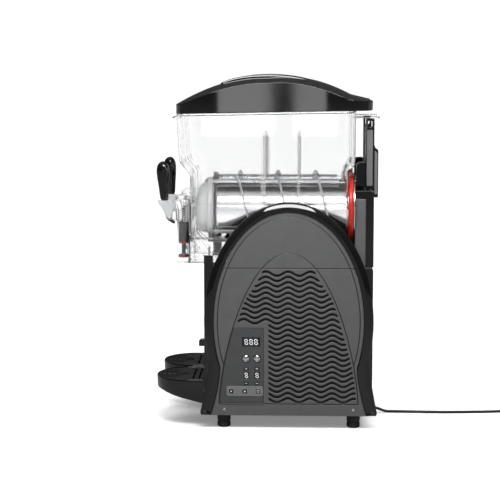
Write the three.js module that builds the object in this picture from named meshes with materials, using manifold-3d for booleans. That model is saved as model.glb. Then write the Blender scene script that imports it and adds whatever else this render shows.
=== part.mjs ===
// Two-bowl slush machine, in millimetres, +Z up. The taps and trays face -Y and the control
// panel is on the +X side. Lengths along Y are measured from the middle of the arched side
// covers, and the whole group is then shifted so that the origin is at the bottom centre.
import * as THREE from 'three';
import { mergeVertices } from 'three/addons/utils/BufferGeometryUtils.js';
import Module from 'manifold-3d';

const wasm = await Module();
wasm.setup();

// ---------- driving dimensions ----------
const GAP = 0.3;
const FRONT_END = -332.5;
const REAR_END = 222;
const ARCH_Y = -(FRONT_END + REAR_END) / 2;

// arched side covers
const SIDE_X = 203;
const BAND_IN_X = 188.5;
const PANEL_X = 197.5;
const PANEL_T = 3;
const ARCH_Z = 266;
const BAND_RY = 208;
const BAND_RZ = 296;
const PANEL_RY = 184;
const PANEL_RZ = 272;
const BASE_Z = 34;
const PAN_TOP = 64;
const SEAM_Z = 400;

// louvre field of a side panel
const FIELD_HALF = 171;
const FIELD_Z0 = 63;
const FIELD_HEIGHT = 374.5;
const LOUVRE_PITCH = 13.1;
const LOUVRE_SLOT = 5.4;
const LOUVRE_TOP = 391;

// control panel, in the lower front corner of the right side panel
const FASCIA_X = 196.9;
const FASCIA_T = 2.2;
const FASCIA_TOP = 252;
const FASCIA_BOTTOM = 66;
const FASCIA_REAR = -62;
const FASCIA_FRONT_TOP = -136;
const FASCIA_FRONT_BOTTOM = -168;
const KEY_PROUD = 2.2;
const KEY_CLEAR = 0.4;

// bowls, drums and augers
const BOWL_X = 98;
const AXIS_Z = 540;
const TROUGH_R = 86;
const HOPPER_HALF = 90;
const BOWL_WALL = 3;
const BOWL_FRONT = -242;
const BOWL_REAR = 145;
const RIM_FRONT_Z = 773;
const RIM_REAR_Z = 781;
const DRUM_R = 65;
const AUGER_R = 81.5;
const AUGER_IN_R = 67.5;
const AUGER_PITCH = 98;
const BLADE_TOPS_Y = -130;

// taps
const TAP_Y = -264.5;
const TAP_R = 16.5;
const TAP_BORE_R = 13.5;
const TAP_BOTTOM = 401;
const TAP_HEAD_Z = 507;
const TAP_TOP = 574;
const LEVER_Y = -300;
const LEVER_Z = 516;

// lids
const LID_HALF = 93;
const LID_FRONT = -279;
const LID_REAR = 204;
const LID_APEX = 863;
const LID_STRIP_TOP = 870;

// drip trays
const TRAY_Y = -208.6;
const TRAY_HALF = 88;
const TRAY_TOP = 120;
const TRAY_WALL = 4;

// body
const DECK_Z = 400;
const FRONT_Y = -208;
const REAR_Y = 206;
const BODY_HALF = 187.6;
const MOTOR_HALF = 170;
const MOTOR_TOP = 588;

// mains cord
const CORD_D = 7;
const CORD_Z = 3.8;
const CORD_EXIT_Y = 212.3;
const CORD_EXIT_Z = 14;
const COIL_Y = 612;
const COIL_MID_R = 38.5;
const COIL_HALF = 11;
const COIL_TOP = 14.6;

// ---------- materials ----------
const paint = (color, roughness, metalness = 0, opacity = 1) =>
  new THREE.MeshStandardMaterial({ color, roughness, metalness, opacity, transparent: opacity < 1 });
const GLOSS_BLACK = paint(0x0c0c0d, 0.18);
const SATIN_GREY = paint(0x4b4c4e, 0.38, 0.4);
const MATT_BLACK = paint(0x161616, 0.7);
const CLEAR = paint(0xe8eef0, 0.06, 0, 0.3);
const STEEL = paint(0xb9bbbd, 0.25, 1);
const GALVANISED = paint(0x9a9c9e, 0.45, 0.9);
const WHITE = paint(0xe6e6e4, 0.4);
const RED = paint(0xb9281f, 0.5);

// ---------- geometry helpers ----------
const machine = new THREE.Group();
machine.position.y = ARCH_Y;

function add(name, geometry, material) {
  const mesh = new THREE.Mesh(geometry, material);
  mesh.name = name;
  machine.add(mesh);
  return mesh;
}

function solid(geometry) {
  const bare = geometry.clone();
  bare.deleteAttribute('normal');
  bare.deleteAttribute('uv');
  const welded = mergeVertices(bare, 1e-4);
  return new wasm.Manifold(new wasm.Mesh({
    numProp: 3,
    vertProperties: new Float32Array(welded.attributes.position.array),
    triVerts: new Uint32Array(welded.index.array),
  }));
}

function geometryOf(manifold) {
  const mesh = manifold.getMesh();
  const geometry = new THREE.BufferGeometry();
  geometry.setAttribute('position', new THREE.BufferAttribute(mesh.vertProperties, 3));
  geometry.setIndex(new THREE.BufferAttribute(mesh.triVerts, 1));
  return geometry;
}

const join = (...parts) => geometryOf(parts.map(solid).reduce((sum, part) => sum.add(part)));
const cut = (body, ...tools) =>
  geometryOf(tools.map(solid).reduce((rest, tool) => rest.subtract(tool), solid(body)));
const common = (...parts) => geometryOf(parts.map(solid).reduce((sum, part) => sum.intersect(part)));

function box(x0, x1, y0, y1, z0, z1) {
  const geometry = new THREE.BoxGeometry(x1 - x0, y1 - y0, z1 - z0);
  return geometry.translate((x0 + x1) / 2, (y0 + y1) / 2, (z0 + z1) / 2);
}

const extruded = (shape, depth, curveSegments) =>
  new THREE.ExtrudeGeometry(shape, { depth, bevelEnabled: false, curveSegments });

// a (y, z) outline drawn along X from x0 to x1
function alongX(shape, x0, x1, curveSegments = 8) {
  const turn = new THREE.Matrix4().set(0, 0, 1, 0, 1, 0, 0, 0, 0, 1, 0, 0, 0, 0, 0, 1);
  return extruded(shape, x1 - x0, curveSegments).applyMatrix4(turn).translate(x0, 0, 0);
}

// an (x, z) outline drawn along Y from y0 to y1
const alongY = (shape, y0, y1, curveSegments = 8) =>
  extruded(shape, y1 - y0, curveSegments).rotateX(Math.PI / 2).translate(0, y1, 0);

// an (x, y) outline drawn along Z from z0 to z1
const alongZ = (shape, z0, z1, curveSegments = 8) =>
  extruded(shape, z1 - z0, curveSegments).translate(0, 0, z0);

const outline = (points) => new THREE.Shape(points.map(([u, v]) => new THREE.Vector2(u, v)));

// rods along each axis, from a to b
const rodX = (r, a, b, y, z, sides = 16) =>
  new THREE.CylinderGeometry(r, r, b - a, sides).rotateZ(Math.PI / 2).translate((a + b) / 2, y, z);
const rodY = (r, a, b, x, z, sides = 16) =>
  new THREE.CylinderGeometry(r, r, b - a, sides).translate(x, (a + b) / 2, z);

// a turned part: the profile holds [radius, height] pairs and starts and ends on the axis,
// or goes round and closes on itself
function turned(profile, sides = 20) {
  return new THREE.LatheGeometry(profile.map(([r, h]) => new THREE.Vector2(r, h)), sides);
}
const turnedZ = (profile, x, y, sides) => turned(profile, sides).rotateX(Math.PI / 2).translate(x, y, 0);
const turnedY = (profile, x, z, sides) => turned(profile, sides).translate(x, 0, z);

function ring(rIn, rOut, h0, h1) {
  return [[rIn, h0], [rOut, h0], [rOut, h1], [rIn, h1], [rIn, h0]];
}

function rounded(u0, u1, v0, v1, r) {
  const shape = new THREE.Shape();
  shape.moveTo(u0 + r, v0);
  shape.lineTo(u1 - r, v0);
  shape.absarc(u1 - r, v0 + r, r, -Math.PI / 2, 0);
  shape.absarc(u1 - r, v1 - r, r, 0, Math.PI / 2);
  shape.absarc(u0 + r, v1 - r, r, Math.PI / 2, Math.PI);
  shape.absarc(u0 + r, v0 + r, r, Math.PI, 1.5 * Math.PI);
  return shape;
}

const sides = [['right', 1], ['left', -1]];

// ---------- base, feet and body panels ----------
function basePan() {
  const pan = box(-BODY_HALF + 1, BODY_HALF - 1, -200, 198, BASE_Z, PAN_TOP);
  const hollow = box(-BODY_HALF + 3, BODY_HALF - 3, -198, 196, BASE_Z + 2, PAN_TOP + 5);
  return cut(pan, hollow);
}

function foot(x, y) {
  const profile = [[0, 0], [14, 0], [16.5, 3], [16.5, 12], [15, 14.5], [16.5, 17], [16.5, 27], [12, 30],
    [12, BASE_Z - GAP], [0, BASE_Z - GAP]];
  return turnedZ(profile, x, y, 12);
}

// a folded sheet in plan: a flat face with a flange at each end, turned towards the middle
function foldedPanel(faceY, inward, halfWidth, flange, z0, z1) {
  const shell = box(-halfWidth, halfWidth, Math.min(faceY, faceY + inward * flange),
    Math.max(faceY, faceY + inward * flange), z0, z1);
  const hollowEnd = faceY + inward * (flange + 1);
  const hollowStart = faceY + inward * 3;
  const hollow = box(-halfWidth + 3, halfWidth - 3, Math.min(hollowStart, hollowEnd),
    Math.max(hollowStart, hollowEnd), z0 - 1, z1 + 1);
  return cut(shell, hollow);
}

function frontPanel() {
  const panel = foldedPanel(FRONT_Y, 1, BODY_HALF, 22, 66, 430);
  const recesses = sides.map(([, side]) =>
    box(side * BOWL_X - 77, side * BOWL_X + 77, FRONT_Y - 5, FRONT_Y + 40, 394, 440));
  const drainSpout = join(rodY(7, -222, FRONT_Y + 2, 0, 184, 12), box(-6, 6, -234, -218, 172, 191));
  return join(cut(panel, ...recesses), drainSpout);
}

function rearPanel() {
  const panel = foldedPanel(REAR_Y, -1, BODY_HALF, 19, 66, DECK_Z - 5);
  const slots = [];
  for (let row = 0; row < 9; row += 1) {
    const z = 110 + row * 26;
    slots.push(box(-130, -12, REAR_Y - 5, REAR_Y + 5, z, z + 8));
    slots.push(box(12, 130, REAR_Y - 5, REAR_Y + 5, z, z + 8));
  }
  return cut(panel, ...slots);
}

function topDeck() {
  return join(
    box(-BODY_HALF + 3.4, BODY_HALF - 3.4, FRONT_Y + 4, REAR_Y - 4, DECK_Z - 4, DECK_Z),
    box(-BODY_HALF + 3.4, BODY_HALF - 3.4, -120, 150, DECK_Z - 1, DECK_Z + 20),
  );
}

function motorHousing() {
  const shell = box(-MOTOR_HALF, MOTOR_HALF, 161.3, 187.7, DECK_Z + GAP, MOTOR_TOP - 20);
  const room = box(-MOTOR_HALF + 2, MOTOR_HALF - 2, 163.3, 190, DECK_Z - 1, MOTOR_TOP - 22);
  const shaftHoles = sides.map(([, side]) => rodY(9, 158, 166, side * BOWL_X, AXIS_Z));
  return cut(shell, room, ...shaftHoles);
}

// black cover over the top and back of the motor housing
function motorCover() {
  const profile = new THREE.Shape();
  profile.moveTo(161.3, MOTOR_TOP - 19.7);
  profile.lineTo(188, MOTOR_TOP - 19.7);
  profile.lineTo(188, DECK_Z + GAP);
  profile.lineTo(207, DECK_Z + GAP);
  profile.lineTo(207, MOTOR_TOP - 12);
  profile.quadraticCurveTo(206.5, MOTOR_TOP, 195, MOTOR_TOP);
  profile.lineTo(161.3, MOTOR_TOP);
  const room = box(-MOTOR_HALF + 3, MOTOR_HALF - 3, 180, 204, DECK_Z - 1, MOTOR_TOP - 22);
  return cut(alongX(profile, -MOTOR_HALF, MOTOR_HALF, 4), room);
}

add('base_pan', basePan(), GALVANISED);
const footPlaces = [[165, -160.5], [165, 160.5], [-165, -160.5], [-165, 160.5]];
footPlaces.forEach(([x, y], index) => add(`foot_${index + 1}`, foot(x, y), MATT_BLACK));
add('front_panel', frontPanel(), GLOSS_BLACK);
add('rear_panel', rearPanel(), GLOSS_BLACK);
add('top_deck', topDeck(), MATT_BLACK);
add('motor_housing', motorHousing(), SATIN_GREY);
add('motor_cover', motorCover(), GLOSS_BLACK);

// ---------- arched side covers ----------
// Outline of a side cover: an upright half ellipse that runs on below its centre to a waist
// and then flares out to the base. It goes up the rear edge, over the top and down the front.
function archPath(path, ry, rz, waistZ, flareY, bottomZ, footY, backwards = false) {
  const waist = Math.asin((waistZ - ARCH_Z) / rz);
  const waistY = ry * Math.cos(waist);
  if (backwards) {
    path.lineTo(-footY, bottomZ);
    path.lineTo(-flareY, bottomZ + 24);
    path.quadraticCurveTo(-waistY - 2, (waistZ + bottomZ) / 2 + 14, -waistY, waistZ);
    path.absellipse(0, ARCH_Z, ry, rz, Math.PI - waist, waist, true);
    path.quadraticCurveTo(waistY + 2, (waistZ + bottomZ) / 2 + 14, flareY, bottomZ + 24);
    path.lineTo(footY, bottomZ);
    return;
  }
  path.moveTo(footY, bottomZ);
  path.lineTo(flareY, bottomZ + 24);
  path.quadraticCurveTo(waistY + 2, (waistZ + bottomZ) / 2 + 14, waistY, waistZ);
  path.absellipse(0, ARCH_Z, ry, rz, waist, Math.PI - waist);
  path.quadraticCurveTo(-waistY - 2, (waistZ + bottomZ) / 2 + 14, -flareY, bottomZ + 24);
  path.lineTo(-footY, bottomZ);
}

function sideBand() {
  const shape = new THREE.Shape();
  archPath(shape, BAND_RY, BAND_RZ, 178, 218, BASE_Z, 208);
  archPath(shape, PANEL_RY + GAP, PANEL_RZ + GAP, 153, 186, BASE_Z, 194, true);
  return alongX(shape, BAND_IN_X, SIDE_X, 16);
}

function wholeSidePanel() {
  const shape = new THREE.Shape();
  archPath(shape, PANEL_RY, PANEL_RZ, 153, 185.4, BASE_Z, 193.4);
  return alongX(shape, PANEL_X - PANEL_T, PANEL_X, 16);
}

const abovePanelSeam = () => box(150, 250, -300, 300, SEAM_Z + 0.4, 700);
const belowPanelSeam = () => box(150, 250, -300, 300, 0, SEAM_Z - 0.4);

// half the width of the louvre field at height z
const fieldHalf = (z) => FIELD_HALF * Math.sqrt(1 - ((z - FIELD_Z0) / FIELD_HEIGHT) ** 1.5);

function louvreSlots(withControls) {
  const slots = [];
  for (let z = LOUVRE_TOP; z > FIELD_Z0 + LOUVRE_SLOT; z -= LOUVRE_PITCH) {
    const half = fieldHalf(z + LOUVRE_SLOT / 2) - 8;
    const start = withControls && z < FASCIA_TOP + 8 ? FASCIA_REAR + 12 : -half;
    slots.push(box(PANEL_X - 8, PANEL_X + 4, start, half, z - LOUVRE_SLOT / 2, z + LOUVRE_SLOT / 2));
  }
  return slots;
}

function fasciaOutline(grow) {
  return outline([
    [FASCIA_FRONT_BOTTOM - grow, FASCIA_BOTTOM - grow],
    [FASCIA_REAR + grow, FASCIA_BOTTOM - grow],
    [FASCIA_REAR + grow, FASCIA_TOP + grow],
    [FASCIA_FRONT_TOP - grow, FASCIA_TOP + grow],
  ]);
}

// the same piece on the other side; its triangles are turned over so that they still face outwards
function mirrored(geometry) {
  const copy = geometry.index ? geometry.clone() : mergeVertices(geometry);
  copy.scale(-1, 1, 1);
  for (let i = 0; i < copy.index.count; i += 3) {
    const first = copy.index.getX(i);
    copy.index.setX(i, copy.index.getX(i + 1));
    copy.index.setX(i + 1, first);
  }
  return copy;
}

const panelUpper = common(wholeSidePanel(), abovePanelSeam());
const panelLower = common(wholeSidePanel(), belowPanelSeam());
const rightLower = cut(panelLower, ...louvreSlots(true),
  alongX(fasciaOutline(GAP), PANEL_X - 6, PANEL_X + 4));
const leftLower = cut(panelLower, ...louvreSlots(false));
add('side_band_right', sideBand(), GLOSS_BLACK);
add('side_band_left', mirrored(sideBand()), GLOSS_BLACK);
add('side_cap_right', panelUpper, SATIN_GREY);
add('side_cap_left', mirrored(panelUpper), SATIN_GREY);
add('louvre_panel_right', rightLower, SATIN_GREY);
add('louvre_panel_left', mirrored(leftLower), SATIN_GREY);

// ---------- control panel ----------
const ROUND_KEYS = [['speed_key', -104.8], ['light_key', -77.5]];
const KEY_COLUMNS = [['right_bowl', -104], ['left_bowl', -77.6]];
const STRIP_KEYS = [['start_key', -141], ['mode_key', -107.5], ['power_key', -74.8]];
const ROUND_KEY_Z = 176;
const ROUND_KEY_R = 8.2;
const PLUS_Z = 151;
const MINUS_Z = 114.5;
const SMALL_KEY_Y = 5.2;
const SMALL_KEY_Z = 3.6;
const STRIP_Z = 94.5;
const STRIP_KEY_R = 6;

const keyBack = FASCIA_X - FASCIA_T - 1;

// a round push key with a domed face, its axis along X
function roundKey(y, z, r) {
  const tip = FASCIA_X + KEY_PROUD;
  const profile = [[0, keyBack], [r, keyBack], [r, tip - 1], [r * 0.8, tip - 0.3], [0, tip]];
  return turned(profile, 10).rotateZ(-Math.PI / 2).translate(0, y, z);
}

const smallKey = (y, z) =>
  box(keyBack, FASCIA_X + 1.2, y - SMALL_KEY_Y, y + SMALL_KEY_Y, z - SMALL_KEY_Z, z + SMALL_KEY_Z);

function fascia() {
  const back = FASCIA_X - FASCIA_T;
  const holes = [];
  ROUND_KEYS.forEach(([, y]) => holes.push(rodX(ROUND_KEY_R + KEY_CLEAR, back - 2, FASCIA_X + 3, y, ROUND_KEY_Z, 12)));
  STRIP_KEYS.forEach(([, y]) => holes.push(rodX(STRIP_KEY_R + KEY_CLEAR, back - 2, FASCIA_X + 3, y, STRIP_Z, 12)));
  KEY_COLUMNS.forEach(([, y]) => [PLUS_Z, MINUS_Z].forEach((z) => holes.push(
    box(back - 2, FASCIA_X + 3, y - SMALL_KEY_Y - KEY_CLEAR, y + SMALL_KEY_Y + KEY_CLEAR,
      z - SMALL_KEY_Z - KEY_CLEAR, z + SMALL_KEY_Z + KEY_CLEAR))));
  const plate = alongX(fasciaOutline(0), back, FASCIA_X);
  const strip = alongX(rounded(-153, -62.8, 82, 107.7, 5), back, FASCIA_X + 0.8, 3);
  const display = alongX(rounded(-113.5, -70.3, 206.6, 228.8, 1.5), back, FASCIA_X + 0.8, 3);
  return cut(join(plate, strip, display), ...holes);
}

add('control_fascia', fascia(), SATIN_GREY);
ROUND_KEYS.forEach(([name, y]) => add(name, roundKey(y, ROUND_KEY_Z, ROUND_KEY_R), STEEL));
KEY_COLUMNS.forEach(([name, y]) => {
  add(`${name}_plus_key`, smallKey(y, PLUS_Z), MATT_BLACK);
  add(`${name}_minus_key`, smallKey(y, MINUS_Z), MATT_BLACK);
});
STRIP_KEYS.forEach(([name, y]) => add(name, roundKey(y, STRIP_Z, STRIP_KEY_R), MATT_BLACK));

// ---------- cooling unit inside the body ----------
function compressor() {
  const floor = BASE_Z + 2.3;
  const profile = [[0, floor], [58, floor], [58, 54], [64, 60], [64, 128], [68, 134], [64, 140], [62, 190],
    [48, 212], [22, 222], [0, 223]];
  return turnedZ(profile, -70, 20, 16);
}

function condenser() {
  const block = box(142, 176, -20, 176, 70, 300);
  const fins = [];
  for (let y = -12; y < 170; y += 12) {
    fins.push(box(138, 148, y, y + 6, 78, 292));
  }
  return cut(block, ...fins);
}

const FAN_Y = 78;
const FAN_Z = 185;

function fanMotor() {
  const can = rodX(32, 70, 104, FAN_Y, FAN_Z, 14);
  const stand = box(78, 90, FAN_Y - 14, FAN_Y + 14, BASE_Z + 2.3, FAN_Z);
  return join(can, stand);
}

function fanBlades() {
  const hub = rodX(18, 106, 128, FAN_Y, FAN_Z, 12);
  const blades = [];
  for (let i = 0; i < 5; i += 1) {
    const blade = new THREE.BoxGeometry(3, 44, 78).rotateZ(0.5).translate(0, 0, 50);
    blades.push(blade.rotateX((i * 2 * Math.PI) / 5).translate(117.5, FAN_Y, FAN_Z));
  }
  return join(hub, ...blades);
}

add('compressor', compressor(), MATT_BLACK);
add('condenser', condenser(), GALVANISED);
add('fan_motor', fanMotor(), MATT_BLACK);
add('fan_blades', fanBlades(), STEEL);

// ---------- evaporator drums, gearmotors, gaskets ----------
function evaporator(x) {
  const profile = [[9, -182], [DRUM_R - 4, -182], [DRUM_R, -178], [DRUM_R, 157.3], [88, 157.3],
    [88, 161], [DRUM_R - 2.5, 161], [DRUM_R - 2.5, -179], [12, -179], [12, 161], [9, 161], [9, -182]];
  return turnedY(profile, x, AXIS_Z, 24);
}

const gasket = (x) => turnedY([[70, 145.3], [TROUGH_R, 145.3], [TROUGH_R + 3, 149], [TROUGH_R + 3, 153],
  [TROUGH_R, 157], [70, 157], [70, 145.3]], x, AXIS_Z, 24);

function gearmotor(x) {
  const gearbox = box(x - 42, x + 42, 166, 186, AXIS_Z - 48, MOTOR_TOP - 24);
  const motor = box(x - 30, x + 30, 166, 202, AXIS_Z - 120, AXIS_Z - 49);
  const hole = rodY(8.5, 160, 190, x, AXIS_Z);
  return cut(join(gearbox, motor, box(x - 20, x + 20, 168, 184, AXIS_Z - 60, AXIS_Z - 40)), hole);
}

// ---------- augers ----------
// A blade is a strip wound on a helix: a long box is bent so that its length runs round the drum.
function helixBlade(x, startY, turns, stepsPerTurn = 12) {
  const blade = new THREE.BoxGeometry(turns, AUGER_R - AUGER_IN_R, 3.2, turns * stepsPerTurn, 1, 1);
  const at = blade.attributes.position;
  for (let i = 0; i < at.count; i += 1) {
    const turn = at.getX(i) + turns / 2;
    const radius = (AUGER_R + AUGER_IN_R) / 2 + at.getY(i);
    const angle = -Math.PI / 2 - turn * 2 * Math.PI;
    at.setXYZ(i, x + radius * Math.cos(angle), startY + turn * AUGER_PITCH - at.getZ(i),
      AXIS_Z + radius * Math.sin(angle));
  }
  return blade;
}

function auger(x) {
  const startY = BLADE_TOPS_Y;
  const bars = [];
  for (let i = 0; i < 3; i += 1) {
    const bar = box(-5, 5, -195, 122, AUGER_IN_R + 1, AUGER_IN_R + 7);
    bars.push(bar.rotateY((i * 2 * Math.PI) / 3 + 0.35).translate(x, 0, AXIS_Z));
  }
  const nose = turnedY([[0, -233], [30, -231], [54, -224], [63, -212], [63, -186], [59, -186], [59, -210],
    [50, -219], [28, -226], [9, -227], [9, -186], [0, -186]], x, AXIS_Z, 18);
  const rim = turnedY(ring(AUGER_IN_R - 6, AUGER_IN_R + 9, -200, -189), x, AXIS_Z, 18);
  const shaft = rodY(7, -190, 184, x, AXIS_Z, 10);
  return join(rim, nose, ...bars, shaft, helixBlade(x, startY - AUGER_PITCH * 0.5, 3));
}

// ---------- bowls ----------
const rimZ = (y) => RIM_FRONT_Z + ((y + 275) / 437) * (RIM_REAR_Z - RIM_FRONT_Z);

// side view of the hopper, with its front stepped in above the trough
function hopperSide(t, top) {
  const shape = new THREE.Shape();
  shape.moveTo(162 - t, rimZ(162) + top);
  shape.lineTo(-275 + t, rimZ(-275) + top);
  shape.lineTo(-269 + t, 655);
  shape.bezierCurveTo(-267 + t, 640 + t, -244 + t, 645 + t / 2, -243 + t, 622);
  shape.lineTo(-243 + t, 588);
  shape.quadraticCurveTo(-240 + t, 552 + t, -206, 550 + t);
  shape.lineTo(136, 550 + t);
  shape.quadraticCurveTo(BOWL_REAR - t, 551 + t, BOWL_REAR - t, 566);
  shape.lineTo(BOWL_REAR - t, 636 + t / 2);
  shape.quadraticCurveTo(160 - t, 640 + t / 2, 160 - t, 656);
  return shape;
}

// front view of the trough: a half round with upright sides
function troughEnd(x, r, top) {
  const shape = new THREE.Shape();
  shape.moveTo(x + r, top);
  shape.lineTo(x - r, top);
  shape.lineTo(x - r, AXIS_Z);
  shape.absarc(x, AXIS_Z, r, Math.PI, 2 * Math.PI);
  return shape;
}

function bowl(x) {
  const plan = (t) => alongZ(rounded(x - HOPPER_HALF + t, x + HOPPER_HALF - t, -275 + t, 200, 24 - t), 500, 830, 4);
  const hopper = (t, top) => common(
    alongX(hopperSide(t, top), x - HOPPER_HALF + t, x + HOPPER_HALF - t, 5), plan(t));
  const outside = join(
    hopper(0, 0),
    alongY(troughEnd(x, TROUGH_R, 600), BOWL_FRONT, BOWL_REAR, 12),
    box(x - 30, x + 30, -289, -270, 763, 766),
    box(x - 22, x + 22, 157, REAR_END, 763, 766),
  );
  const rearHole = rodY(78, BOWL_REAR - 10, BOWL_REAR + 5, x, AXIS_Z, 28);
  const outlet = rodY(9, BOWL_FRONT - 5, BOWL_FRONT + 8, x, 468, 12);
  return cut(outside,
    hopper(BOWL_WALL, 20),
    alongY(troughEnd(x, TROUGH_R - BOWL_WALL, 598), BOWL_FRONT + BOWL_WALL, BOWL_REAR - BOWL_WALL, 12),
    rearHole,
    outlet);
}

// ---------- condensate chutes, hung under the bowl fronts ----------
function chute(x) {
  const shell = box(x - 73.5, x + 73.5, -245.2, -152, 409, 474);
  const room = box(x - 71, x + 71, -242.7, -150, 411.5, 480);
  const bowlRoom = rodY(TROUGH_R + 1.5, -242.7, -140, x, AXIS_Z, 28);
  const neck = box(x - 21, x + 21, -250, -240, 440, 480);
  return cut(shell, room, bowlRoom, neck);
}

// ---------- taps ----------
function tapBody(x) {
  const body = turnedZ([[0, TAP_TOP], [8, TAP_TOP - 1], [20.5, TAP_TOP - 9],
    [20.5, TAP_HEAD_Z], [TAP_R, TAP_HEAD_Z - 2], [TAP_R, TAP_BOTTOM], [TAP_BORE_R, TAP_BOTTOM],
    [TAP_BORE_R, TAP_HEAD_Z + 28], [15, TAP_TOP - 14], [0, TAP_TOP - 8]].reverse(), x, TAP_Y, 16);
  const neck = rodY(13, TAP_Y + TAP_BORE_R + 1, BOWL_FRONT - GAP, x, 468, 14);
  const ears = [-1, 1].map((side) => alongX(
    outline([[-278, 508], [-278, 534], [-304, 524], [-306, 516], [-304, 509]]),
    x + side * 9.5 - 2, x + side * 9.5 + 2));
  const bolt = box(x - 6, x + 6, TAP_Y + 14, BOWL_FRONT - 1.4, 560, 566);
  const inlet = rodY(9, TAP_Y, BOWL_FRONT + 5, x, 468, 12);
  const camSlot = box(x - 5, x + 5, -292, TAP_Y, 488, 536);
  const pinHole = rodX(3.5, x - 20, x + 20, LEVER_Y, LEVER_Z, 12);
  return cut(join(body, neck, ...ears, bolt), inlet, camSlot, pinHole);
}

// sealing piston with its two O-ring lands and the stem that the return spring sits on
function piston(x) {
  const r = TAP_BORE_R - 0.5;
  return turnedZ([[0, 415], [r, 415], [r, 422], [5, 424], [5, 450], [r, 453], [r, 506], [4, 508],
    [4, 538], [0, 538]], x, TAP_Y, 12);
}

function lever(x) {
  const grip = turned([[0, 0], [8, 0], [11.5, 3], [13, 25], [17.5, 62], [18, 76], [15, 90], [8, 98],
    [0, 100]], 14).rotateX(Math.PI / 2).scale(0.72, 1, 1).rotateX(0.035).translate(x, -311, 555);
  const clevis = alongX(outline([[-321, 556], [-300, 556], [-293, 524], [-292, 512], [-300, 506],
    [-307, 511], [-308, 522]]), x - 6.8, x + 6.8);
  const cam = alongX(outline([[-302, 520], [-285, 503.5], [-286, 499.5], [-290, 498.5], [-306, 509]]),
    x - 3.6, x + 3.6);
  return join(grip, clevis, cam, rodX(3, x - 12.5, x + 12.5, LEVER_Y, LEVER_Z, 12));
}

// ---------- lids ----------
// The crown of a lid along its centre line, as heights over Y, and how far its sides drop from it.
const crownLine = new THREE.CurvePath();
crownLine.add(new THREE.QuadraticBezierCurve(new THREE.Vector2(LID_FRONT, 797),
  new THREE.Vector2(-165, 866), new THREE.Vector2(-53, LID_APEX)));
crownLine.add(new THREE.QuadraticBezierCurve(new THREE.Vector2(-53, LID_APEX),
  new THREE.Vector2(55, 872), new THREE.Vector2(154, 818)));
crownLine.add(new THREE.LineCurve(new THREE.Vector2(154, 818), new THREE.Vector2(LID_REAR, 806)));

// A block is bent into the lid's shape: u runs across, v along, and w is 0 below and 1 above.
function lidBlock(x, inset, columns, rows) {
  const block = new THREE.BoxGeometry(2, 1, 1, columns, rows, 1);
  const at = block.attributes.position;
  for (let i = 0; i < at.count; i += 1) {
    const u = at.getX(i);
    const v = Math.min(Math.max(at.getY(i) + 0.5, 0), 1);
    const crown = crownLine.getPoint(v);
    const middle = (LID_FRONT + LID_REAR) / 2;
    const length = (LID_REAR - LID_FRONT) / 2;
    const along = (crown.x - middle) / length;
    const corner = 1 - 0.06 * u ** 4;
    const y = middle + along * (length - inset) * corner;
    const across = u * (LID_HALF - inset) * (1 - 0.1 * along ** 8);
    const drop = 19 * u ** 4 * (1 - along ** 4);
    const bottom = rimZ(y) + (inset > 0 ? -5 : 0.4);
    at.setXYZ(i, x + across, y, at.getZ(i) > 0 ? crown.y - drop - inset : bottom);
  }
  return block;
}

function lid(x) {
  const shell = cut(lidBlock(x, 0, 6, 15), lidBlock(x, 3, 4, 10));
  const stripShape = new THREE.Shape();
  stripShape.moveTo(-178, 838);
  stripShape.lineTo(72, 838);
  stripShape.quadraticCurveTo(0, LID_STRIP_TOP, -53, LID_STRIP_TOP);
  stripShape.quadraticCurveTo(-110, LID_STRIP_TOP, -178, 838);
  const strip = common(alongX(stripShape, x - 40, x + 40, 6), box(x - 40, x + 40, -172, 67, 842, 880));
  return join(shell, strip);
}

// ---------- drip trays ----------
function trayPlan(x, inset) {
  const shape = new THREE.Shape();
  const half = TRAY_HALF - inset;
  const length = TRAY_Y - FRONT_END - 60 - inset;
  shape.moveTo(x + half, TRAY_Y - inset);
  shape.lineTo(x - half, TRAY_Y - inset);
  shape.lineTo(x - half, TRAY_Y - 40);
  shape.absellipse(x, TRAY_Y - 40, half, length + 20, Math.PI, 2 * Math.PI);
  return shape;
}

function tray(x) {
  const side = outline([[TRAY_Y + 1, 58], [TRAY_Y + 1, TRAY_TOP], [FRONT_END - 1, TRAY_TOP],
    [FRONT_END - 1, 86], [-300, 80]]);
  const body = common(alongZ(trayPlan(x, 0), 40, 130, 14), alongX(side, x - 100, x + 100));
  const well = common(alongZ(trayPlan(x, TRAY_WALL), 40, 130, 14),
    alongX(outline([[TRAY_Y, 84], [TRAY_Y, 130], [FRONT_END, 130], [FRONT_END, 94]]), x - 100, x + 100));
  const ledgeRoom = alongZ(trayPlan(x, TRAY_WALL - 1.6), TRAY_TOP - 4.5, 130, 14);
  return cut(body, well, ledgeRoom);
}

// grille with curved slots round the place under the spout
function grille(x) {
  const plate = alongZ(trayPlan(x, TRAY_WALL - 1.3), TRAY_TOP - 4.2, TRAY_TOP - 1.2, 14);
  const slots = [];
  for (let i = 0; i < 5; i += 1) {
    const r = 22 + i * 11;
    const slot = new THREE.Shape();
    slot.absarc(x, TAP_Y, r + 4.5, 1.12 * Math.PI, 1.88 * Math.PI);
    slot.absarc(x, TAP_Y, r, 1.88 * Math.PI, 1.12 * Math.PI, true);
    if (i < 4) slots.push(alongZ(slot, TRAY_TOP - 8, TRAY_TOP + 4, 5));
  }
  slots.push(turnedZ([[0, TRAY_TOP - 9], [10, TRAY_TOP - 9], [10, TRAY_TOP + 4], [0, TRAY_TOP + 4]], x, TAP_Y, 14));
  return cut(plate, ...slots);
}

// ---------- lid masts behind the bowls ----------
const mast = (x) => alongX(outline([[188, MOTOR_TOP + GAP], [207.3, MOTOR_TOP + GAP], [207.3, 567],
  [219, 567], [219, 684], [209, 692], [209, 762.4], [188, 762.4]]), x - 14, x + 14);

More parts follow.
